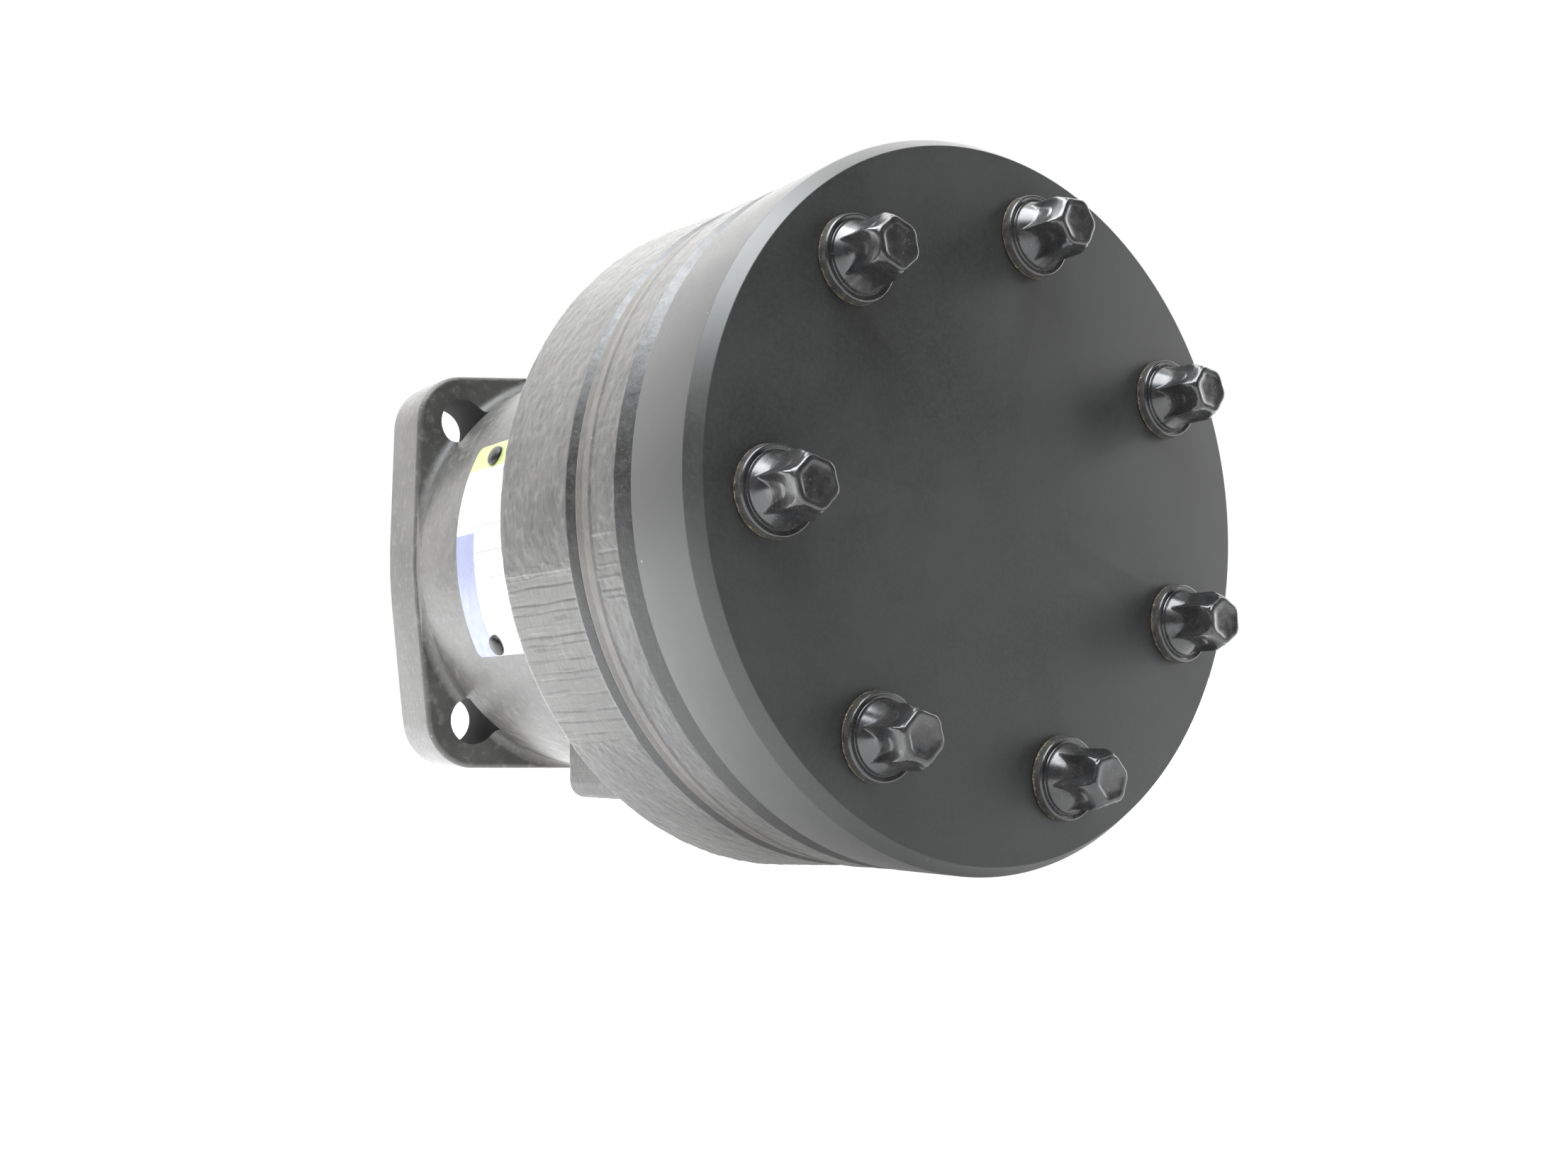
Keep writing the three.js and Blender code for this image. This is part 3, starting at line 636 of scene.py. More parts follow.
def mat_nameplate():
    """White foil with a yellow-green end and a blue band. Only plain rules are printed on it."""
    M = Mat("nameplate_foil", Metallic=0.0, IOR=1.5)
    ang = M.angle()
    x, y, z = M.xyz()
    fine = M.noise(500, 4, 0.6)
    c = M.mix(M.rng(fine, 0.35, 0.7), (0.42, 0.43, 0.41), (0.50, 0.50, 0.485))
    green = M.rng(ang, 22.3, 23.0)
    c = M.mix(green, c, (0.27, 0.33, 0.11))
    blue = M.math("MULTIPLY", M.rng(ang, 6.1, 5.7), M.rng(x, -0.0520, -0.0517))
    c = M.mix(blue, c, (0.16, 0.18, 0.29))
    # plain printed rules: rows of empty fields beside the band
    row = M.math("FRACT", M.math("MULTIPLY", M.math("ADD", ang, 100.0), 1 / 6.5))
    rule = M.rng(M.math("ABSOLUTE", M.math("SUBTRACT", row, 0.5)), 0.022, 0.014)
    zone = M.math("MULTIPLY", M.rng(x, -0.0532, -0.0536), M.rng(ang, 20.5, 20.0))
    edge = M.rng(M.math("ABSOLUTE", M.math("ADD", x, 0.0534)), 0.00016, 0.00009)
    edge = M.math("MULTIPLY", edge, M.rng(ang, 20.5, 20.0))
    ink = M.math("MULTIPLY", M.math("MAXIMUM", M.math("MULTIPLY", rule, zone), edge), 0.75)
    c = M.mix(ink, c, (0.12, 0.13, 0.15))
    dirt = M.rng(M.noise(90, 5, 0.7), 0.56, 0.75, 0.0, 0.35)
    c = M.mix(dirt, c, (0.45, 0.42, 0.34))
    M.base(c)
    M.rough(M.rng(fine, 0.3, 0.7, 0.26, 0.42))
    M.bump((M.noise(220, 3, 0.5), 0.03, 0.35))
    return M.m


CAP = mat_cap()
CAST_RING = mat_cast("ring_paint", 0.86)
# painted shade: the cast paint at a fraction of its tone on the chamfers of the ring and housing, darkening them as
# the dim surroundings they face would
BEVEL_SHADE = mat_cast("bevel_painted_shade", 0.22, ior=1.75)
CAP_BEVEL = mat_cap("cap_bevel_paint", 1.60, (0.36, 0.46))
CAST_HOUS = mat_cast("housing_paint", 1.0, ground=True)
PLATE = mat_cast("plate_paint", 0.9, brown=0.6)
BOLT, BOLT_DUST = mat_bolt(), mat_bolt_dust()
SHAFT_STEEL = mat_steel("shaft_ground_steel", (0.27, 0.275, 0.28), (0.22, 0.36), 5200.0)
TURNED = mat_steel("turned_steel", (0.26, 0.265, 0.27), (0.30, 0.42), 2600.0)
GROUND = mat_steel("ground_steel", (0.54, 0.55, 0.56), (0.14, 0.26), 7000.0)
BEARING = mat_steel("bearing_steel", (0.62, 0.62, 0.63), (0.08, 0.20))
RUBBER, OXIDE, IRON, FOIL, HOLE = mat_rubber(), mat_oxide(), mat_bare_iron(), mat_nameplate(), mat_hole()


# ---------------------------------------------------------------- end cap
def bolt_holes(x0, x1, seg=48):
    parts = []
    for k in range(7):
        y, z = polar(BOLT_PR, k * PITCH)
        parts.append(rod_data(x0, x1, BOLT_HOLE_R, seg, y, z))
    return parts


def make_cap():
    prof = rounded([
        (X_CAP, 0), (X_CAP, BODY_R - 2.0), (X_CAP + 3.1, BODY_R), (X_CAP + CAP_T, BODY_R),
        (X_CAP + CAP_T, 48.0), (X_CAP + CAP_T - 1.7, 48.0), (X_CAP + CAP_T - 1.7, 45.5),
        (X_CAP + CAP_T, 45.5), (X_CAP + CAP_T, 0)], [0, 0.35, 0.5, 0.25, 0, 0, 0, 0, 0])
    ob = lathe("end_cap_body", prof, 360)
    boolean(ob, [("DIFFERENCE", tool(bolt_holes(X_CAP - 1, X_CAP + CAP_T + 1)))])

    def pick(c, n):
        return np.where((n[:, 0] < -0.3) & (n[:, 0] > -0.9) & (np.hypot(c[:, 1], c[:, 2]) > BODY_R - 2.4), 1, 0)
    return piece(ob, ["end_cap"], "root", [CAP, CAP_BEVEL], pick, angle=20)


# ------------------------------------------------------------ roller ring
def cast_disp(x, phi, r, amp, seed):
    p = np.stack([x, r * np.cos(phi), r * np.sin(phi)], 1)
    a = fractal(p, 0.55, 2, 0.5, seed) * 0.6 + fractal(p, 1.1, 2, 0.6, seed + 5) * 0.6
    return amp * a


def make_ring():
    x0, x1 = X_RING, X_RING + RING_T
    prof = rounded([
        (x0, RING_IN_R), (x0, BODY_R - 3.4), (x0 + 5.3, BODY_R), (x1 - 1.3, BODY_R + 0.0), (x1 - 0.45, BODY_R + 0.22),
        (x1, BODY_R - 0.15), (x1, RING_IN_R)], [0, 0.3, 0.4, 0.6, 0.18, 0.1, 0])
    prof = refine(prof, x0 + 5.2, x1 - 0.2, 60, 0.4)

    def disp(x, phi, r):
        w = smoothstep(x0 + 5.2, x0 + 5.9, x) * smoothstep(x1 - 0.8, x1 - 1.5, x)
        d = cast_disp(x, phi, r, 0.13, 3.0)
        deg = np.degrees((phi + math.pi) % (2 * math.pi) - math.pi)
        # cold laps and trimming marks: short ridges across the band
        lap = np.zeros(len(x))
        for a0, h, s, xa, xb in [(-3.4, 0.16, 0.22, 6.5, 15), (-6.2, -0.14, 0.25, 5.6, 12), (-8.1, 0.14, 0.2, 6, 13), (-9.9, 0.18, 0.22, 6, 14),
                                 (-11.6, -0.16, 0.24, 6, 13), (-13.0, 0.16, 0.22, 6, 12), (4.8, 0.12, 0.3, 7, 15), (12.5, -0.12, 0.35, 6, 13),
                                 (96, 0.15, 0.3, 6, 14), (99, -0.12, 0.3, 6, 14), (171, 0.16, 0.3, 6, 15), (-120, 0.14, 0.3, 6, 14)]:
            t = np.exp(-((deg - a0) / s) ** 2)
            m = smoothstep(x0 + xa - 0.5, x0 + xa + 0.5, x) * smoothstep(x0 + xb + 0.5, x0 + xb - 0.5, x)
            lap += h * t * m
        out = w * (d + lap)
        return np.where(r > 60, out, 0)

    ph = np.unique(np.round(np.concatenate([np.arange(0, 360, 0.45), np.arange(344.0, 360.0, 0.15), np.arange(0, 3, 0.15)]), 4))
    ob = lathe("geroler_ring_body", prof, disp=disp, phis=np.radians(ph))
    pockets = []
    for k in range(7):
        y, z = polar(ROLL_PR, (k + 0.5) * PITCH)
        pockets.append(rod_data(x0 - 1, x1 + 1, ROLL_R + 0.05, 96, y, z))
    boolean(ob, [("DIFFERENCE", tool(bolt_holes(x0 - 1, x1 + 1))), ("DIFFERENCE", tool(pockets))])

    def pick(c, n):
        r = np.hypot(c[:, 1], c[:, 2])
        # these chamfer faces take the darkened cast paint: painted shade
        bevel = (n[:, 0] < -0.3) & (r > BODY_R - 3.8)
        return np.where((n[:, 0] < -0.985) | ((r < 46) & (n[:, 0] < 0.985)), 1, np.where(bevel, 2, 0))
    return piece(ob, ["geroler_ring"], "root", [CAST_RING, GROUND, BEVEL_SHADE], pick, angle=30)


# ----------------------------------------------------------- spacer plate
def make_plate():
    x0, x1 = X_PLATE, X_PLATE + PLATE_T
    prof = rounded([
        (x0, 20.5), (x0, 45.5), (x0 + 1.7, 45.5), (x0 + 1.7, 48.0), (x0, 48.0),
        (x0, BODY_R - 0.65), (x0 + 0.4, BODY_R - 0.42), (x0 + 2.6, BODY_R - 0.48), (x0 + 4.5, BODY_R - 0.15), (x1, BODY_R - 1.1),
        (x1, 20.5)], [0, 0, 0, 0, 0, 0.1, 0.4, 2.0, 0.7, 0.3, 0])
    ob = lathe("spacer_plate_body", prof, 360)
    ways = []
    for k in range(7):
        y, z = polar(34.0, k * PITCH)
        ways.append(rod_data(x0 - 1, x1 + 1, 3.0, 32, y, z))
    boolean(ob, [("DIFFERENCE", tool(bolt_holes(x0 - 1, x1 + 1))), ("DIFFERENCE", tool(ways))])
    return piece(ob, ["spacer_plate"], "root", [PLATE], angle=28)


# ---------------------------------------------------------------- housing
def neck_r(x):
    return NECK_R0 + (NECK_R1 - NECK_R0) * (x - X_STEP) / (-FLANGE_T - X_STEP)


def flange_outline(n=14, m=10):
    c, s, a = FLANGE_CR, FLANGE_S, FLANGE_A
    side = np.array([s - a, s])
    side = side / np.linalg.norm(side)
    a0 = math.atan2(side[1], side[0]) - math.pi / 2
    a1 = math.pi / 2 - a0
    d = math.hypot(s, s) - c / math.cos(math.pi / 4 - a0)
    cc = d / math.sqrt(2)
    loc = []
    first = (cc + c * math.cos(a0), cc + c * math.sin(a0))
    last = (cc + c * math.cos(a1), cc + c * math.sin(a1))
    # the side from its middle peak to the corner, with the peak slightly rounded
    for i in range(m):
        t = i / m
        y = t * first[1]
        x = a + (first[0] - a) * t
        x -= 0.28 * math.exp(-(y / 4.0) ** 2)
        loc.append((x, y))
    for i in range(n + 1):
        t = a0 + (a1 - a0) * i / n
        loc.append((cc + c * math.cos(t), cc + c * math.sin(t)))
    for i in range(m - 1, 0, -1):
        t = i / m
        x = t * last[0]
        y = a + (last[1] - a) * t
        y -= 0.28 * math.exp(-(x / 4.0) ** 2)
        loc.append((x, y))
    out = []
    for q in range(4):
        th = q * math.pi / 2
        cs, sn = round(math.cos(th)), round(math.sin(th))
        out += [(x * cs - y * sn, x * sn + y * cs) for x, y in loc]
    return out


def edge_levels(x0, x1, r0, r1, n=4):
    """Levels of an outline stack with both edges rounded."""
    lv = [(x0 + r0 * (1 - math.cos(t)), r0 * (1 - math.sin(t))) for t in np.linspace(0, math.pi / 2, n + 1)]
    lv += [(x1 - r1 * (1 - math.sin(t)), r1 * (1 - math.cos(t))) for t in np.linspace(0, math.pi / 2, n + 1)]
    return lv


def thread_data(r_minor, depth, pitch, length, seg=64, per=6):
    """A threaded plug about X from x=0, used to cut a thread."""
    n = int(length / pitch * per)
    ph = circle(seg)
    rings = []
    for i in range(n + 1):
        x = length * i / n
        t = (x / pitch - ph / (2 * math.pi)) % 1.0
        r = r_minor + depth * np.clip(1.25 - np.abs(t - 0.5) * 3.4, 0, 1) * smoothstep(length, length - pitch, np.full(seg, x))
        rings.append(np.stack([np.full(seg, x), r * np.cos(ph), r * np.sin(ph)], 1))
    V = np.concatenate(rings + [[[0, 0, 0], [length, 0, 0]]])
    F = []
    for i in range(n):
        F += [[i * seg + k, (i + 1) * seg + k, (i + 1) * seg + (k + 1) % seg, i * seg + (k + 1) % seg] for k in range(seg)]
    c0, c1 = (n + 1) * seg, (n + 1) * seg + 1
    for k in range(seg):
        F.append([c0, k, (k + 1) % seg])
        F.append([c1, n * seg + (k + 1) % seg, n * seg + k])
    return V, F


def make_housing():
    n0 = neck_r(X_STEP + 6)
    prof = [(X_HOUS, 0), (X_HOUS, HOUS_R0 - 1.15), (X_HOUS + 1.6, HOUS_R0), (X_STEP - 0.9, HOUS_R1 + 0.05),
            (X_STEP, HOUS_R1 - 1.2), (X_STEP, 59.5), (X_STEP + 6, n0),
            (-FLANGE_T - 9.5, neck_r(-FLANGE_T - 9.5)), (-FLANGE_T + 1, NECK_R1 - 0.1), (-FLANGE_T + 1, 0)]
    prof = rounded(prof, [0, 0.3, 0.5, 1.3, 1.0, 5.0, 5.0, 0, 0, 0], 7)
    prof = refine(prof, X_HOUS + 1.5, X_STEP + 0.01, 62, 0.42)
    prof = refine(prof, X_STEP + 6, -FLANGE_T - 9, 40, 1.2)

    def disp(x, phi, r):
        deg = np.degrees((phi + math.pi) % (2 * math.pi) - math.pi)
        d = cast_disp(x, phi, r, 0.17, 11.0)
        soft = cast_disp(x * 0.35, phi, r * 0.35, 0.10, 31.0)
        zone = (smoothstep(-36.6, -34.6, deg) * smoothstep(-7.6, -8.6, deg)
                * smoothstep(X_HOUS + 1.0, X_HOUS + 1.8, x) * smoothstep(X_STEP - 0.3, X_STEP - 1.4, x))
        wide = smoothstep(X_HOUS + 1.3, X_HOUS + 2.3, x) * (r > 60)
        neck = (r <= 60) * (r > 45) * smoothstep(X_STEP + 0.2, X_STEP + 3, x) * smoothstep(-FLANGE_T - 3, -FLANGE_T - 7, x)
        marks = np.zeros(len(x))
        for a0, h, s in GROUND_MARKS:
            bend = 0.10 * np.sin(x * 0.35 + a0)
            marks += h * np.exp(-((deg - a0 - bend) / s) ** 2)
        flat = -0.12 + marks * 0.9
        # a knock near the front edge
        k = np.exp(-(((deg + 36.7) / 0.5) ** 2 + ((x + 102.4) / 1.3) ** 2))
        out = wide * ((1 - zone) * d + zone * (flat + 0.12 * d)) - 0.25 * k * (r > 60) + neck * (0.30 * d + soft)
        return out

    ph = np.unique(np.round(np.concatenate([np.arange(0, 360, 0.5), np.arange(321.0, 354.0, 0.14)]), 4))
    shell = lathe("housing_body", prof, disp=disp, phis=np.radians(ph))

    outline = flange_outline()
    V, F = stack_data(outline, edge_levels(-FLANGE_T, 0, 1.3, 0.9))
    flange = make("flange", V, F)
    t = np.linspace(0, math.pi / 2, 8)
    fr = 2.6
    xf = -FLANGE_T + 0.02
    arc = [(xf - fr * (1 - math.sin(a)), neck_r(-20) + fr * (1 - math.cos(a))) for a in t]
    fillet = lathe("fillet", [(arc[0][0], 40)] + [(arc[0][0], arc[0][1] - 0.05)] + arc[1:] + [(-FLANGE_T + 0.8, arc[-1][1]), (-FLANGE_T + 0.8, 40)], 240)
    V, F = stack_data(offset_outline(outline, 0.5), [(-FLANGE_T - 9, 0), (-FLANGE_T + 2, 0)])
    boolean(fillet, [("INTERSECT", make("clip", V, F))])
    pilot = lathe("pilot", rounded([(-2, 0), (-2, PILOT_R), (PILOT_H, PILOT_R), (PILOT_H, 0)], [0, 0, 0.8, 0], 5), 240)

    # port boss: a block with rounded edges under the neck
    bo = [(-31.0, -20.0)]
    w, zc = 32.5, PORT_Z
    for a in np.linspace(math.pi, 1.5 * math.pi, 9):
        bo.append((-w + 4 + 4 * math.cos(a), zc + 4 + 4 * math.sin(a)))
    for a in np.linspace(1.5 * math.pi, 2 * math.pi, 9):
        bo.append((w - 4 + 4 * math.cos(a), zc + 4 + 4 * math.sin(a)))
    bo.append((31.0, -20.0))
    V, F = stack_data(bo, edge_levels(X_STEP - 4, -53.5, 0.2, 2.4, 5))
    boss = make("boss", V, F)
    drain = make("drain_boss", *prism_data([(0, 0), (1, 0), (1, 1), (0, 1)], 0, 1))
    V, F = lathe_data(rounded([(0, 0), (0, 12.0), (7.3, 11.0), (7.3, 0)], [0, 0, 0.8, 0], 4), circle(96))
    drain.data.clear_geometry()
    drain.data.from_pydata((along((0, -1, 0), V, (-36, -45.0, 0)) * MM).tolist(), [], F)
    outward(drain)

    bore = lathe("bore", [
        (X_HOUS - 1, 0), (X_HOUS - 1, SPOOL_BORE_R + 1.0), (X_HOUS, SPOOL_BORE_R + 1.0), (X_HOUS + 1.0, SPOOL_BORE_R), (-98, SPOOL_BORE_R), (-98, 28), (-90, 28), (-90, SPOOL_BORE_R),
        (-80, SPOOL_BORE_R), (-80, 28), (-72, 28), (-72, SPOOL_BORE_R), (-55.3, SPOOL_BORE_R), (-55.3, 22.8), (-24.3, 22.8),
        (-24.3, 24.3), (-14.1, 24.3), (-14.1, 25.6), (-12.0, 25.6), (-12.0, 24.3), (PILOT_H - 0.8, 24.3), (PILOT_H + 1, 26.1), (PILOT_H + 1, 0)], 160)
    groove = lathe("groove", [(X_HOUS - 1, 45.5), (X_HOUS - 1, 48.0), (X_HOUS + 1.5, 48.0), (X_HOUS + 1.5, 45.5)], 160)
    holes = [rod_data(X_HOUS - 1, X_CAP + 62, BOLT_HOLE_R, 40, *polar(BOLT_PR, k * PITCH)) for k in range(7)]
    feeds = []
    for k in range(7):
        a, b = np.array([X_HOUS - 2, *polar(35.5, k * PITCH)]), np.array([-109, *polar(21, k * PITCH)])
        V, F = rod_data(0, float(np.linalg.norm(b - a)), 2.8, 24)
        feeds.append((along(b - a, V, a), F))
    mounts = []
    for sy in (-1, 1):
        for sz in (-1, 1):
            V, F = lathe_data([(-FLANGE_T - 4, 0), (-FLANGE_T - 4, MOUNT_HR), (-FLANGE_T + 0.02, MOUNT_HR), (-0.7, MOUNT_HR), (0.02, MOUNT_HR + 0.7), (1, MOUNT_HR + 0.7), (1, 0)], circle(96))
            mounts.append((V + np.array([0, sy * MOUNT_P, sz * MOUNT_P]), F))
    ports, seats, cross = [], [], []
    for x, y in PORTS:
        V, F = thread_data(PORT_R, 0.95, 1.814, 16.5, 80, 7)
        ports.append((along((0, 0, 1), V, (x, y, PORT_Z)), F))
        V, F = lathe_data([(-2, 0), (-2, PORT_R + 2.9), (0, PORT_R + 2.9), (0.45, PORT_R + 2.6), (2.6, PORT_R + 0.6), (2.9, 0)], circle(96))
        seats.append((along((0, 0, 1), V, (x, y, PORT_Z)), F))
    for a, b in [((-94, 11, PORT_Z + 16), (-94, 6, -25)), ((-76, -14, PORT_Z + 16), (-76, -8, -24))]:
        a, b = np.array(a, float), np.array(b, float)
        V, F = rod_data(0, float(np.linalg.norm(b - a)), 4.5, 32)
        cross.append((along(b - a, V, a), F))
    drainhole = []
    V, F = lathe_data([(0, 0), (0, 9.5), (9.0, 9.5), (9.0, 5.9), (19, 5.9), (19, 3.2), (40, 3.2), (40, 0)], circle(72))
    drainhole.append((along((0, 1, 0), V, (-36, -60.3, 0)), F))
    pins = []
    for a in (25.7, -22.5):
        y, z = polar(1, math.radians(a))
        V, F = rod_data(0, 9, 1.25, 20)
        pins.append((along((0, y, z), V, (-54.1, y * 47, z * 47)), F))
    steps = [("UNION", flange), ("UNION", fillet), ("UNION", pilot), ("UNION", boss), ("UNION", drain),
             ("DIFFERENCE", bore), ("DIFFERENCE", groove), ("DIFFERENCE", tool(holes)), ("DIFFERENCE", tool(feeds)),
             ("DIFFERENCE", tool(mounts)), ("DIFFERENCE", tool(seats)), ("DIFFERENCE", tool(ports)),
             ("DIFFERENCE", tool(cross)), ("DIFFERENCE", tool(drainhole)), ("DIFFERENCE", tool(pins))]
    boolean(shell, steps)

    def pick(c, n):
        r = np.hypot(c[:, 1], c[:, 2])
        inside = (r < 28.5) & (c[:, 0] > X_HOUS - 0.1)
        rear = (c[:, 0] < X_HOUS + 0.05) & (r < 66)
        port = np.zeros(len(c), bool)
        for x, y in PORTS:
            port |= (np.hypot(c[:, 0] - x, c[:, 1] - y) < PORT_R + 2.95) & (c[:, 2] < -30)
        hole = np.zeros(len(c), bool)
        for sy in (-1, 1):
            for sz in (-1, 1):
                hole |= (np.hypot(c[:, 1] - sy * MOUNT_P, c[:, 2] - sz * MOUNT_P) < MOUNT_HR + 0.05) & (c[:, 0] > -FLANGE_T - 4.1) & (np.abs(n[:, 0]) < 0.5)
        front = (n[:, 0] > 0.9) & (np.abs(c[:, 0]) < 0.3)
        # these chamfer faces take the darkened cast paint: painted shade
        bevel = (n[:, 0] < -0.3) & (r > 66) & (c[:, 0] < X_HOUS + 3.5)
        return np.where(hole, 2, np.where((inside | rear | port) & ~front, 1, np.where(bevel, 3, 0)))
    return piece(shell, ["housing"], "root", [CAST_HOUS, IRON, HOLE, BEVEL_SHADE], pick, angle=32, flat=True)


# ------------------------------------------------------------------ bolts
def bolt_data():
    """Flanged bolt with an external six-lobe head, along +X from the seat at x = 0."""
    n = 192
    ph = circle(n)
    top = 12.4
    rings = []

    def rev(x, r):
        rings.append(np.stack([np.full(n, x), r * np.cos(ph), r * np.sin(ph)], 1))

    # shank with a rolled thread on its last part
    tip = -60.0
    rings.append(np.stack([np.full(n, tip), 3.0 * np.cos(ph), 3.0 * np.sin(ph)], 1))
    pitch = 1.25
    for x in np.arange(tip + 0.8, -34.0, pitch / 4):
        t = (x / pitch - ph / (2 * math.pi)) % 1.0
        fade = float(smoothstep(-34.0, -36.0, np.array([x]))[0])
        r = 4.0 - 0.68 * fade * np.clip(np.abs(t - 0.5) * 2.4 - 0.15, 0, 1)
        rings.append(np.stack([np.full(n, x), r * np.cos(ph), r * np.sin(ph)], 1))
    rev(-33.8, 4.0)
    rev(-0.45, 4.0)
    rev(-0.12, 4.25)
    # flange of the head
    for x, r in [(0.02, 5.0), (0.04, 7.85), (0.10, 8.06), (0.26, 8.2), (0.7, 8.19), (1.3, 8.12), (1.85, 8.02), (2.05, 7.93), (2.18, 7.80), (2.22, 7.66),
                 (2.18, 7.50), (2.06, 7.25), (1.98, 7.0), (1.98, 6.84), (2.08, 6.74), (2.26, 6.69), (2.50, 6.64)]:
        rev(x, r)

    # flared skirt that runs up into six concave flutes, with a fine raised
    # line where the two meet, under a chamfered top
    CONE = np.array([(2.5, 6.70), (3.0, 6.40), (3.6, 6.06), (4.4, 5.64), (5.2, 5.26), (6.0, 4.98), (6.8, 4.84), (7.8, 4.72), (8.6, 4.62), (9.1, 4.46), (9.5, 4.2), (12.4, 2.0)])
    TIP = np.array([(2.5, 6.15), (9.0, 6.12), (9.8, 5.95), (10.6, 5.62), (11.5, 5.16), (12.4, 4.72)])
    FLUTE = np.array([(2.5, 4.62), (9.5, 4.56), (10.5, 4.50), (12.4, 4.36)])
    BOW = np.array([(2.5, 6.7), (10.4, 6.7), (12.4, 14.0)])

    def section(x):
        R = float(np.interp(x, TIP[:, 0], TIP[:, 1]))
        q = float(np.interp(x, FLUTE[:, 0], FLUTE[:, 1]))
        rf = float(np.interp(x, BOW[:, 0], BOW[:, 1]))
        cone = float(np.interp(x, CONE[:, 0], CONE[:, 1]))
        rho = q + rf
        r = np.full(n, R)
        for i in range(6):
            d = (ph - (i + 0.5) * math.pi / 3 + math.pi) % (2 * math.pi) - math.pi
            s_ = rho * np.sin(d)
            hit = (np.abs(s_) < rf) & (np.cos(d) > 0)
            dist = np.where(hit, rho * np.cos(d) - np.sqrt(np.maximum(rf * rf - s_ * s_, 0)), 99.0)
            k = 0.34
            h = np.clip(0.5 + 0.5 * (dist - r) / k, 0, 1)
            r = dist * (1 - h) + r * h - k * h * (1 - h)
        d = cone - r
        k = 0.10
        h = np.clip(0.5 + 0.5 * d / k, 0, 1)
        both = r * (1 - h) + cone * h + k * h * (1 - h)
        return both + 0.12 * np.exp(-(d / 0.16) ** 2) * float(smoothstep(2.7, 3.6, np.array([x]))[0])

    for x in list(np.arange(2.66, 7.4, 0.2)) + list(np.arange(7.5, 10.5, 0.12)) + list(np.arange(10.6, top - 0.45, 0.28)):
        r = section(x)
        rings.append(np.stack([np.full(n, x), r * np.cos(ph), r * np.sin(ph)], 1))
    r = section(top)
    er = 0.46
    for a in np.linspace(0, math.pi / 2, 5):
        rr = r - er * (1 - math.cos(a))
        x = top - er + er * math.sin(a)
        rings.append(np.stack([np.full(n, x), rr * np.cos(ph), rr * np.sin(ph)], 1))
    base = r - er
    for f, dx in [(0.90, 0.0), (0.84, -0.03), (0.78, -0.10), (0.70, -0.16), (0.5, -0.20), (0.25, -0.22)]:
        mean = base.mean() * f
        rr = base * f * (0.3 + 0.7 * f) + mean * (0.7 - 0.7 * f)
        rings.append(np.stack([np.full(n, top + dx), rr * np.cos(ph), rr * np.sin(ph)], 1))
    V = np.concatenate(rings + [[[tip, 0, 0], [top - 0.22, 0, 0]]])
    F = []
    m = len(rings)
    j = np.arange(n)
    for i in range(m - 1):
        a, b = i * n, (i + 1) * n
        F += np.stack([a + j, b + j, b + (j + 1) % n, a + (j + 1) % n], 1).tolist()
    c0, c1 = m * n, m * n + 1
    for k in range(n):
        F.append([c0, k, (k + 1) % n])
        F.append([c1, (m - 1) * n + (k + 1) % n, (m - 1) * n + k])
    return V, F


BOLT_TURN = [17.5, 22, -2, 10, 31, -9, 19]


def make_bolts():
    V, F = bolt_data()
    for k in range(7):
        a = math.radians(BOLT_TURN[k])
        c, s = math.cos(a), math.sin(a)
        y, z = polar(BOLT_PR, k * PITCH)
        W = np.column_stack([X_CAP - V[:, 0], y + V[:, 1] * c - V[:, 2] * s, z + V[:, 1] * s + V[:, 2] * c])
        # lay of dust on the rim: a slightly uneven outline
        rr = np.hypot(V[:, 1], V[:, 2])
        rim = (rr > 7.9) & (V[:, 0] > 0) & (V[:, 0] < 1.6)
        bump = fractal(W, 1.7, 2, 0.6, 40.0 + k) * 0.07
        off = np.where(rim, bump - 0.02, 0)
        dy, dz = W[:, 1] - y, W[:, 2] - z
        q = np.maximum(np.hypot(dy, dz), 1e-6)
        W[:, 1] += dy / q * off
        W[:, 2] += dz / q * off
        ob = make(f"cap_bolt_{k + 1}_body", W, F)

        def pick(cn, nn, y=y, z=z):
            r = np.hypot(cn[:, 1] - y, cn[:, 2] - z)
            h = X_CAP - cn[:, 0]
            return np.where((r > 7.9) & (h < 1.7) & (h > -0.5), 1, 0)
        piece(ob, [f"cap_bolt_{k + 1}"], "root", [BOLT, BOLT_DUST], pick, angle=40)


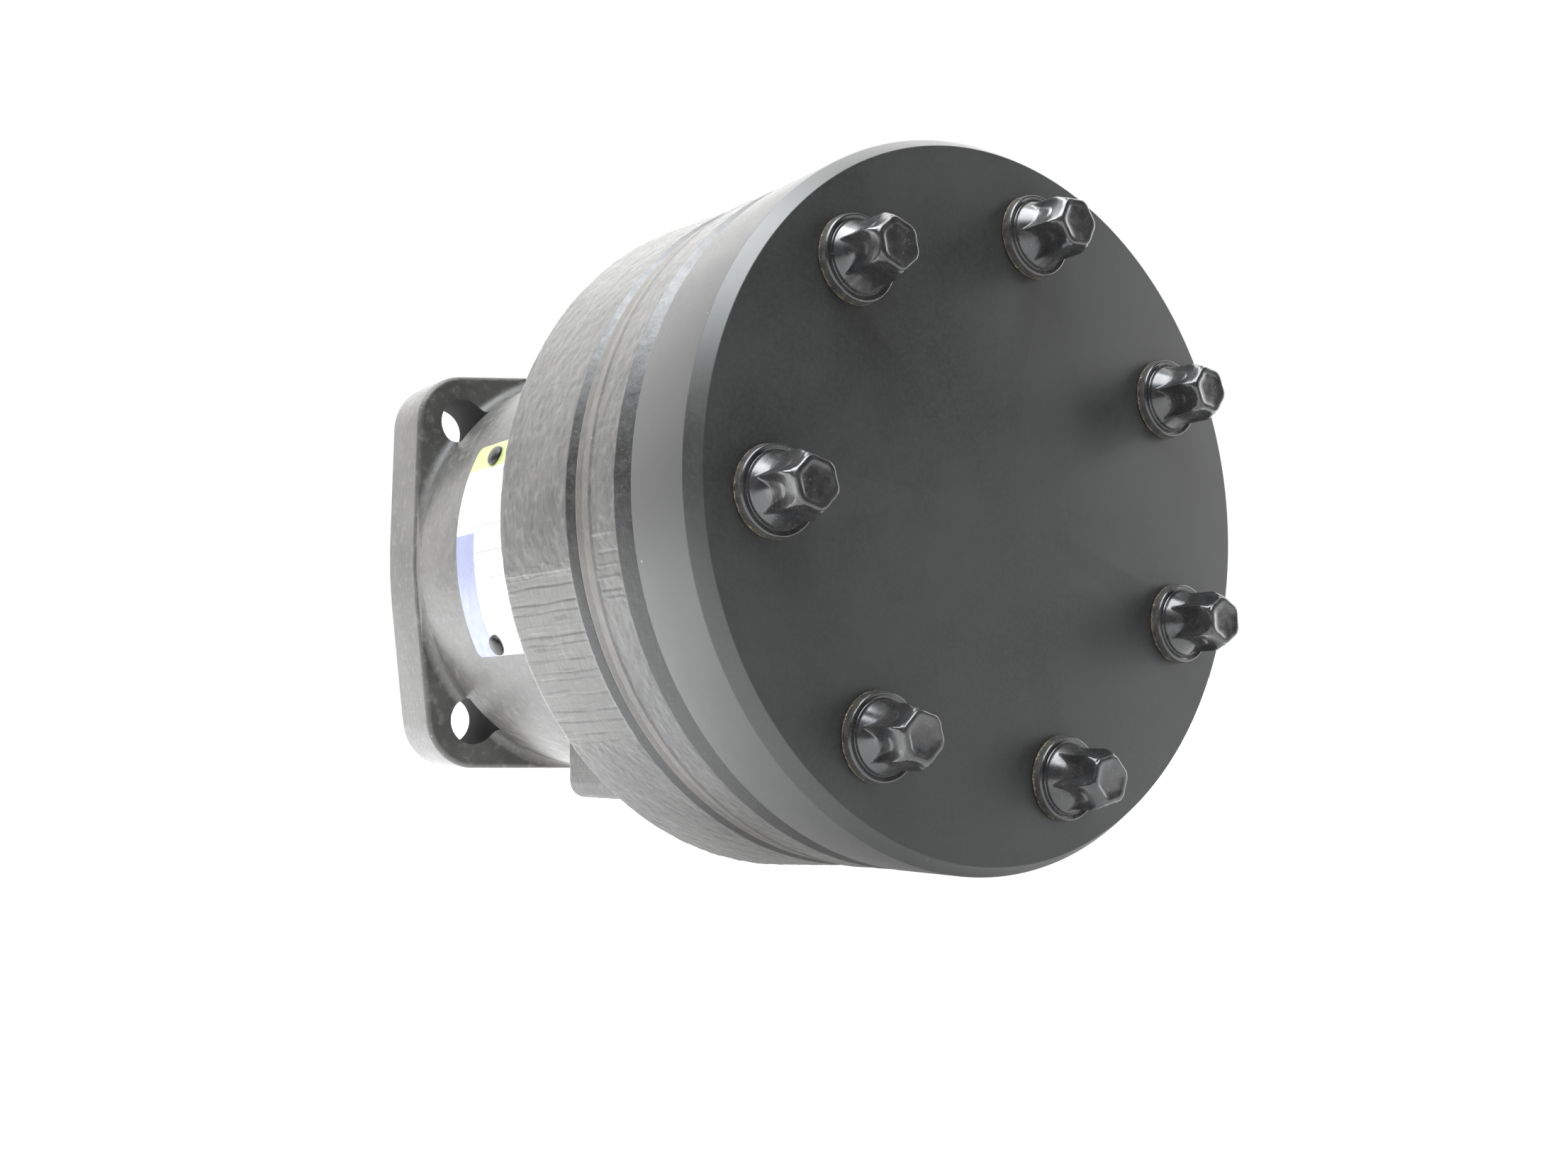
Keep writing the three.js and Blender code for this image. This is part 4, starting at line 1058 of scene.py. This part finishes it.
# -------------------------------------------------------------- nameplate
def make_nameplate():
    ri, ro = NECK_R0 + 0.2, NECK_R0 + 0.62
    x0, x1, a0, a1 = -67.4, -42.6, -25.4, 30.0
    cr = 1.8
    xs = np.unique(np.concatenate([x0 + cr * (1 - np.cos(np.linspace(0, math.pi / 2, 8))), np.linspace(x0 + cr, x1 - cr, 14),
                                   x1 - cr * (1 - np.cos(np.linspace(0, math.pi / 2, 8)))]).round(5))
    nphi = 72
    top, bot = [], []
    for x in xs:
        e = max(0.0, cr - (x - x0), cr - (x1 - x))
        inset = math.degrees((cr - math.sqrt(max(cr * cr - e * e, 0))) / ro)
        ph = np.radians(np.linspace(a0 + inset, a1 - inset, nphi))
        wob = 0.03 * np.sin(x * 0.9 + ph * 9)
        top.append(np.stack([np.full(nphi, x), (ro + wob) * np.cos(ph), (ro + wob) * np.sin(ph)], 1))
        bot.append(np.stack([np.full(nphi, x), ri * np.cos(ph), ri * np.sin(ph)], 1))
    m = len(xs)
    V = np.concatenate(top + bot)
    F = []
    base = m * nphi
    for i in range(m - 1):
        for k in range(nphi - 1):
            a, b, c, d = i * nphi + k, (i + 1) * nphi + k, (i + 1) * nphi + k + 1, i * nphi + k + 1
            F.append([a, d, c, b])
            F.append([base + a, base + b, base + c, base + d])
        for k0, flip in ((0, False), (nphi - 1, True)):
            a, b = i * nphi + k0, (i + 1) * nphi + k0
            q = [a, b, base + b, base + a]
            F.append(q[::-1] if flip else q)
    for i0, flip in ((0, True), (m - 1, False)):
        for k in range(nphi - 1):
            a, b = i0 * nphi + k, i0 * nphi + k + 1
            q = [a, b, base + b, base + a]
            F.append(q[::-1] if flip else q)
    ob = make("nameplate_foil_piece", V, F)
    pins = []
    for a in (25.7, -22.5):
        y, z = polar(1, math.radians(a))
        V, F = rod_data(0, 6, 1.35, 24)
        pins.append((along((0, y, z), V, (-54.1, y * 50, z * 50)), F))
    boolean(ob, [("DIFFERENCE", tool(pins))])
    piece(ob, ["nameplate"], "root", [FOIL], angle=40)
    for i, a in enumerate((25.7, -22.5)):
        y, z = polar(1, math.radians(a))
        prof = [(48, 0), (48, 0.9), (48.6, 1.2), (53.25, 1.2), (53.27, 2.35), (53.4, 2.5)]
        prof += [(53.4 + 1.15 * math.sin(t), 2.5 * math.cos(t) ** 0.8) for t in np.linspace(0.15, math.pi / 2 - 0.12, 8)]
        prof += [(54.55, 0)]
        V, F = lathe_data(prof, circle(48))
        ob = make(f"nameplate_rivet_{i + 1}_body", along((0, y, z), V, (-54.1, 0, 0)), F)
        piece(ob, [f"nameplate_rivet_{i + 1}"], "root", [OXIDE], angle=50)


# ------------------------------------------------------------------ shaft
def spline_outline(n, ri, ro, crest, root):
    pts, p = [], 2 * math.pi / n
    for i in range(n):
        a = i * p
        for f in (-crest, 0.0, crest):
            pts.append(polar(ro, a + f * p / 2))
        for f in (-root, 0.0, root):
            pts.append(polar(ri, a + p / 2 + f * p / 2))
    return pts


def make_shaft():
    prof = [(X_SPOOL0, 0), (X_SPOOL0, SPOOL_R), (-106.5, SPOOL_R), (-106.5, 22.2), (-103.5, 22.2), (-103.5, SPOOL_R),
            (-88.5, SPOOL_R), (-88.5, 22.2), (-82.5, 22.2), (-82.5, SPOOL_R), (X_SPOOL1, SPOOL_R),
            (X_SPOOL1, JOURNAL_R), (-25, JOURNAL_R), (-24, SHAFT_R), (SHAFT_END - 1.6, SHAFT_R), (SHAFT_END, SHAFT_R - 1.6), (SHAFT_END, 0)]
    prof = rounded(prof, [0, 0.5, 0.1, 0, 0, 0.1, 0.1, 0, 0, 0.1, 0.4, 0, 0.3, 0.3, 0.3, 0.3, 0], 3)
    ob = lathe("output_shaft_body", prof, 192)
    hollow = lathe("t", [(X_SPOOL0 - 1, 0), (X_SPOOL0 - 1, 19.0), (X_SPOOL0, 19.0), (X_SPOOL0 + 1, 18.0), (X_SPL_FRONT - 10, 18.0), (X_SPL_FRONT - 8.5, 15.5), (X_SPL_FRONT - 8.5, 0)], 96)
    teeth = make("t", *prism_data(spline_outline(12, 13.4, 16.0, 0.56, 0.34), X_SPL_FRONT - 9, X_SPL_FRONT + 9))
    relief = lathe("t", [(X_SPL_FRONT + 8.5, 0), (X_SPL_FRONT + 8.5, 16.8), (-70, 16.8), (-66.5, 8), (-66.5, 0)], 72)
    slots = []
    for i in range(6):
        a = i * math.pi / 3
        x0 = -102.5 + (0 if i % 2 else -14)
        o = [(x0, -1.6), (x0 + 12, -1.6), (x0 + 12, 1.6), (x0, 1.6)]
        V = np.array([[x, y, z] for z in (22.4, 26) for x, y in o])
        c, s = math.cos(a), math.sin(a)
        V = np.column_stack([V[:, 0], V[:, 1] * c - V[:, 2] * s, V[:, 1] * s + V[:, 2] * c])
        F = [[3, 2, 1, 0], [4, 5, 6, 7], [0, 1, 5, 4], [1, 2, 6, 5], [2, 3, 7, 6], [3, 0, 4, 7]]
        slots.append((V, F))
    # keyway, milled with square ends, and the tapped centre hole
    w = KEY_W / 2 + 0.02
    o = [(11.15, -w), (50.85, -w), (50.85, w), (11.15, w)]
    V = np.array([[x, y, z] for z in (SHAFT_R - 4.2, SHAFT_R + 3) for x, y in o])
    key = (V, [[3, 2, 1, 0], [4, 5, 6, 7], [0, 1, 5, 4], [1, 2, 6, 5], [2, 3, 7, 6], [3, 0, 4, 7]])
    V, F = thread_data(3.35, 0.55, 1.25, 18, 48, 6)
    thr = (along((-1, 0, 0), V, (SHAFT_END - 2.0, 0, 0)), F)
    cone = lathe("t", [(34, 0), (36, 3.3), (SHAFT_END - 3.4, 3.3), (SHAFT_END + 0.5, 6.9), (SHAFT_END + 0.5, 0)], 72)
    boolean(ob, [("DIFFERENCE", hollow), ("DIFFERENCE", teeth), ("DIFFERENCE", relief), ("DIFFERENCE", tool(slots)),
                 ("DIFFERENCE", tool([key])), ("DIFFERENCE", cone), ("DIFFERENCE", tool([thr]))])
    piece(ob, ["output_shaft"], "shaft", [SHAFT_STEEL], angle=32)

    r, L0, L1 = KEY_W / 2 - 0.02, 11.3, 50.7
    o = [(-r, SHAFT_R - 4.0), (r, SHAFT_R - 4.0), (r, SHAFT_R + 3.7), (-r, SHAFT_R + 3.7)]
    cut = []
    for (y, z) in o:
        cut.append((y, z))
    co = [(-r + 0.4, o[0][1]), (r - 0.4, o[0][1]), (r, o[0][1] + 0.4), (r, o[2][1] - 0.5), (r - 0.5, o[2][1]), (-r + 0.5, o[2][1]), (-r, o[2][1] - 0.5), (-r, o[0][1] + 0.4)]
    V, F = stack_data(co, [(L0, 0.4), (L0 + 0.4, 0), (L1 - 0.4, 0), (L1, 0.4)])
    piece(make("shaft_key_body", V, F), ["shaft_key"], "shaft", [TURNED], angle=30)


# ------------------------------------------------------------------ seals
def make_front_seals():
    ob = lathe("dust_seal_body", rounded([
        (-11.8, 17.5), (-11.8, 24.0), (-4.8, 24.0), (-4.8, 22.4), (-5.6, 21.8), (-5.6, 19.2), (-4.8, 18.4), (-3.6, 16.35), (-5.2, 16.3), (-7.2, 17.5), (-11.8, 17.5)],
        [0, 0.4, 0.4, 0.3, 0.4, 0.4, 0.3, 0.15, 0.1, 0.4, 0])[:-1], 192)
    piece(ob, ["dust_seal"], "root", [RUBBER], angle=45)
    ob = lathe("shaft_seal_body", [
        (-22.3, 17.6), (-22.3, 24.0), (-14.5, 24.0), (-14.5, 17.4), (-15.6, 16.2), (-17.4, 16.2),
        (-18.6, 17.2), (-18.6, 21.6), (-21.2, 21.6), (-21.2, 17.6)], 144)
    piece(ob, ["shaft_seal"], "root", [RUBBER], angle=40)


def make_plug():
    prof = rounded([(-42.3, 0), (-42.3, 4.9), (-43.2, 5.5), (-50.2, 5.5), (-51.55, 5.5), (-51.55, 8.6), (-54.6, 8.6), (-54.6, 0)], [0, 0.1, 0.1, 0.1, 0, 0.3, 0.9, 0], 5)
    prof = [(-x, r) for x, r in prof]
    V, F = lathe_data(prof, circle(96))
    ob = make("case_drain_plug_body", along((0, -1, 0), V, (-36, 0, 0)), F)
    hexa = [polar(3.6, math.pi / 6 + k * math.pi / 3) for k in range(6)]
    V, F = stack_data(hexa, [(51.2, 0), (54.05, 0), (54.9, -0.75)])
    boolean(ob, [("DIFFERENCE", make("t", along((0, -1, 0), V, (-36, 0, 0)), F))])
    piece(ob, ["case_drain_plug"], "root", [OXIDE], angle=30)


make_cap()
make_ring()
make_plate()
make_housing()
make_bolts()
make_nameplate()
make_shaft()
make_front_seals()
make_plug()

# ----------------------------------------------- materials of carried nodes
CARRIED = {
    "rotor_star": GROUND, "drive_spacer": TURNED, "cardan_drive": TURNED, "seal_ring_cap": RUBBER, "seal_ring_rotor": RUBBER,
    "seal_ring_housing": RUBBER, "thrust_race_rear": BEARING, "thrust_bearing": BEARING, "thrust_race_front": BEARING,
    "front_bearing_cup": BEARING, "front_bearing_rollers": BEARING, "seal_backup_washer": TURNED, "seal_retaining_ring": OXIDE,
}
for k in range(1, 8):
    CARRIED[f"roller_{k}"] = GROUND
for name, m in CARRIED.items():
    ob = NODES[name]
    if ob.hide_render:
        continue
    ob.data.materials.clear()
    ob.data.materials.append(m)

# ------------------------------------------------------ floor, light, world
me = bpy.data.meshes.new("floor")
S = 4.0
me.from_pydata([(-S, -S, FLOOR_Z), (S, -S, FLOOR_Z), (S, S, FLOOR_Z), (-S, S, FLOOR_Z)], [], [[0, 1, 2, 3]])
floor = bpy.data.objects.new("floor", me)
scene.collection.objects.link(floor)
fm = bpy.data.materials.new("pale_floor")
fm.use_nodes = True
t = fm.node_tree
t.nodes.clear()
out = t.nodes.new("ShaderNodeOutputMaterial")
dif = t.nodes.new("ShaderNodeBsdfDiffuse")
dif.inputs["Color"].default_value = (0.86, 0.86, 0.86, 1)
emi = t.nodes.new("ShaderNodeEmission")
emi.inputs["Color"].default_value = (1, 1, 1, 1)
emi.inputs["Strength"].default_value = 0.85
add = t.nodes.new("ShaderNodeAddShader")
tra = t.nodes.new("ShaderNodeBsdfTransparent")
geo = t.nodes.new("ShaderNodeNewGeometry")
mixs = t.nodes.new("ShaderNodeMixShader")
pos = t.nodes.new("ShaderNodeTexCoord")
px = t.nodes.new("ShaderNodeSeparateXYZ")
t.links.new(pos.outputs["Object"], px.inputs[0])
# the floor glows for all rays but the camera's, faintly towards -X and strongly towards +X, lighting the motor from
# below; the camera sees it plain white
far = t.nodes.new("ShaderNodeMapRange")
far.interpolation_type = "SMOOTHSTEP"
for k, v in (("From Min", -0.28), ("From Max", 0.20), ("To Min", 0.30), ("To Max", 2.5)):
    far.inputs[k].default_value = v
t.links.new(px.outputs[0], far.inputs["Value"])
# painted shade: the floor's colour darker towards -X, under the motor's rear and on the camera side
floor_shade_ramp = t.nodes.new("ShaderNodeMapRange")
floor_shade_ramp.interpolation_type = "SMOOTHSTEP"
for k, v in (("From Min", -0.30), ("From Max", -0.02), ("To Min", 0.42), ("To Max", 0.86)):
    floor_shade_ramp.inputs[k].default_value = v
t.links.new(px.outputs[0], floor_shade_ramp.inputs["Value"])
t.links.new(floor_shade_ramp.outputs["Result"], dif.inputs["Color"])
seen = t.nodes.new("ShaderNodeMapRange")
ray = t.nodes.new("ShaderNodeLightPath")
t.links.new(ray.outputs["Is Camera Ray"], seen.inputs["Value"])
t.links.new(far.outputs["Result"], seen.inputs["To Min"])
seen.inputs["To Max"].default_value = 1.0
t.links.new(seen.outputs["Result"], emi.inputs["Strength"])
t.links.new(dif.outputs[0], add.inputs[0])
t.links.new(emi.outputs[0], add.inputs[1])
t.links.new(geo.outputs["Backfacing"], mixs.inputs[0])
t.links.new(add.outputs[0], mixs.inputs[1])
t.links.new(tra.outputs[0], mixs.inputs[2])
t.links.new(mixs.outputs[0], out.inputs[0])
me.materials.append(fm)

world = bpy.data.worlds.new("studio")
scene.world = world
world.use_nodes = True
t = world.node_tree
t.nodes.clear()
out = t.nodes.new("ShaderNodeOutputWorld")
lit = t.nodes.new("ShaderNodeBackground")
seen = t.nodes.new("ShaderNodeBackground")
mixw = t.nodes.new("ShaderNodeMixShader")
path = t.nodes.new("ShaderNodeLightPath")
tc = t.nodes.new("ShaderNodeTexCoord")
dot = t.nodes.new("ShaderNodeVectorMath")
dot.operation = "DOT_PRODUCT"
dot.inputs[1].default_value = Vector((0.93, -0.30, 0.22)).normalized()
t.links.new(tc.outputs["Generated"], dot.inputs[0])
mr = t.nodes.new("ShaderNodeMapRange")
mr.interpolation_type = "SMOOTHSTEP"
mr.inputs["From Min"].default_value = -0.12
mr.inputs["From Max"].default_value = 0.80
mr.inputs["To Min"].default_value = 0.13
mr.inputs["To Max"].default_value = 3.6
t.links.new(dot.outputs["Value"], mr.inputs["Value"])
sep = t.nodes.new("ShaderNodeSeparateXYZ")
t.links.new(tc.outputs["Generated"], sep.inputs[0])
lift = t.nodes.new("ShaderNodeMath")
lift.operation = "ABSOLUTE"
t.links.new(sep.outputs[2], lift.inputs[0])
band = t.nodes.new("ShaderNodeMapRange")
band.interpolation_type = "SMOOTHSTEP"
for k, v in (("From Min", 0.0), ("From Max", 0.72), ("To Min", 0.50), ("To Max", 1.0)):
    band.inputs[k].default_value = v
t.links.new(lift.outputs[0], band.inputs["Value"])
mul = t.nodes.new("ShaderNodeMath")
mul.operation = "MULTIPLY"
t.links.new(mr.outputs["Result"], mul.inputs[0])
t.links.new(band.outputs["Result"], mul.inputs[1])
t.links.new(mul.outputs[0], lit.inputs["Strength"])
lit.inputs["Color"].default_value = (1.0, 0.995, 0.985, 1)
seen.inputs["Color"].default_value = (1, 1, 1, 1)
seen.inputs["Strength"].default_value = 1.02
t.links.new(path.outputs["Is Camera Ray"], mixw.inputs[0])
t.links.new(lit.outputs[0], mixw.inputs[1])
t.links.new(seen.outputs[0], mixw.inputs[2])
t.links.new(mixw.outputs[0], out.inputs[0])


def area(name, at, to, size, power, colour=(1, 1, 1)):
    d = bpy.data.lights.new(name, "AREA")
    d.shape = "RECTANGLE"
    d.size, d.size_y = size
    d.energy = power
    d.color = colour
    o = bpy.data.objects.new(name, d)
    scene.collection.objects.link(o)
    o.location = at
    o.rotation_mode = "QUATERNION"
    o.rotation_quaternion = (Vector(to) - Vector(at)).to_track_quat("-Z", "Y")
    return o


area("top_softbox", (-0.32, 0.36, 1.00), (-0.17, 0.02, 0.03), (1.25, 0.86), 33.0, (0.93, 0.97, 1.0))
area("side_panel", (-0.42, -1.15, 0.18), (-0.15, 0.0, 0.0), (0.7, 0.9), 7.0)
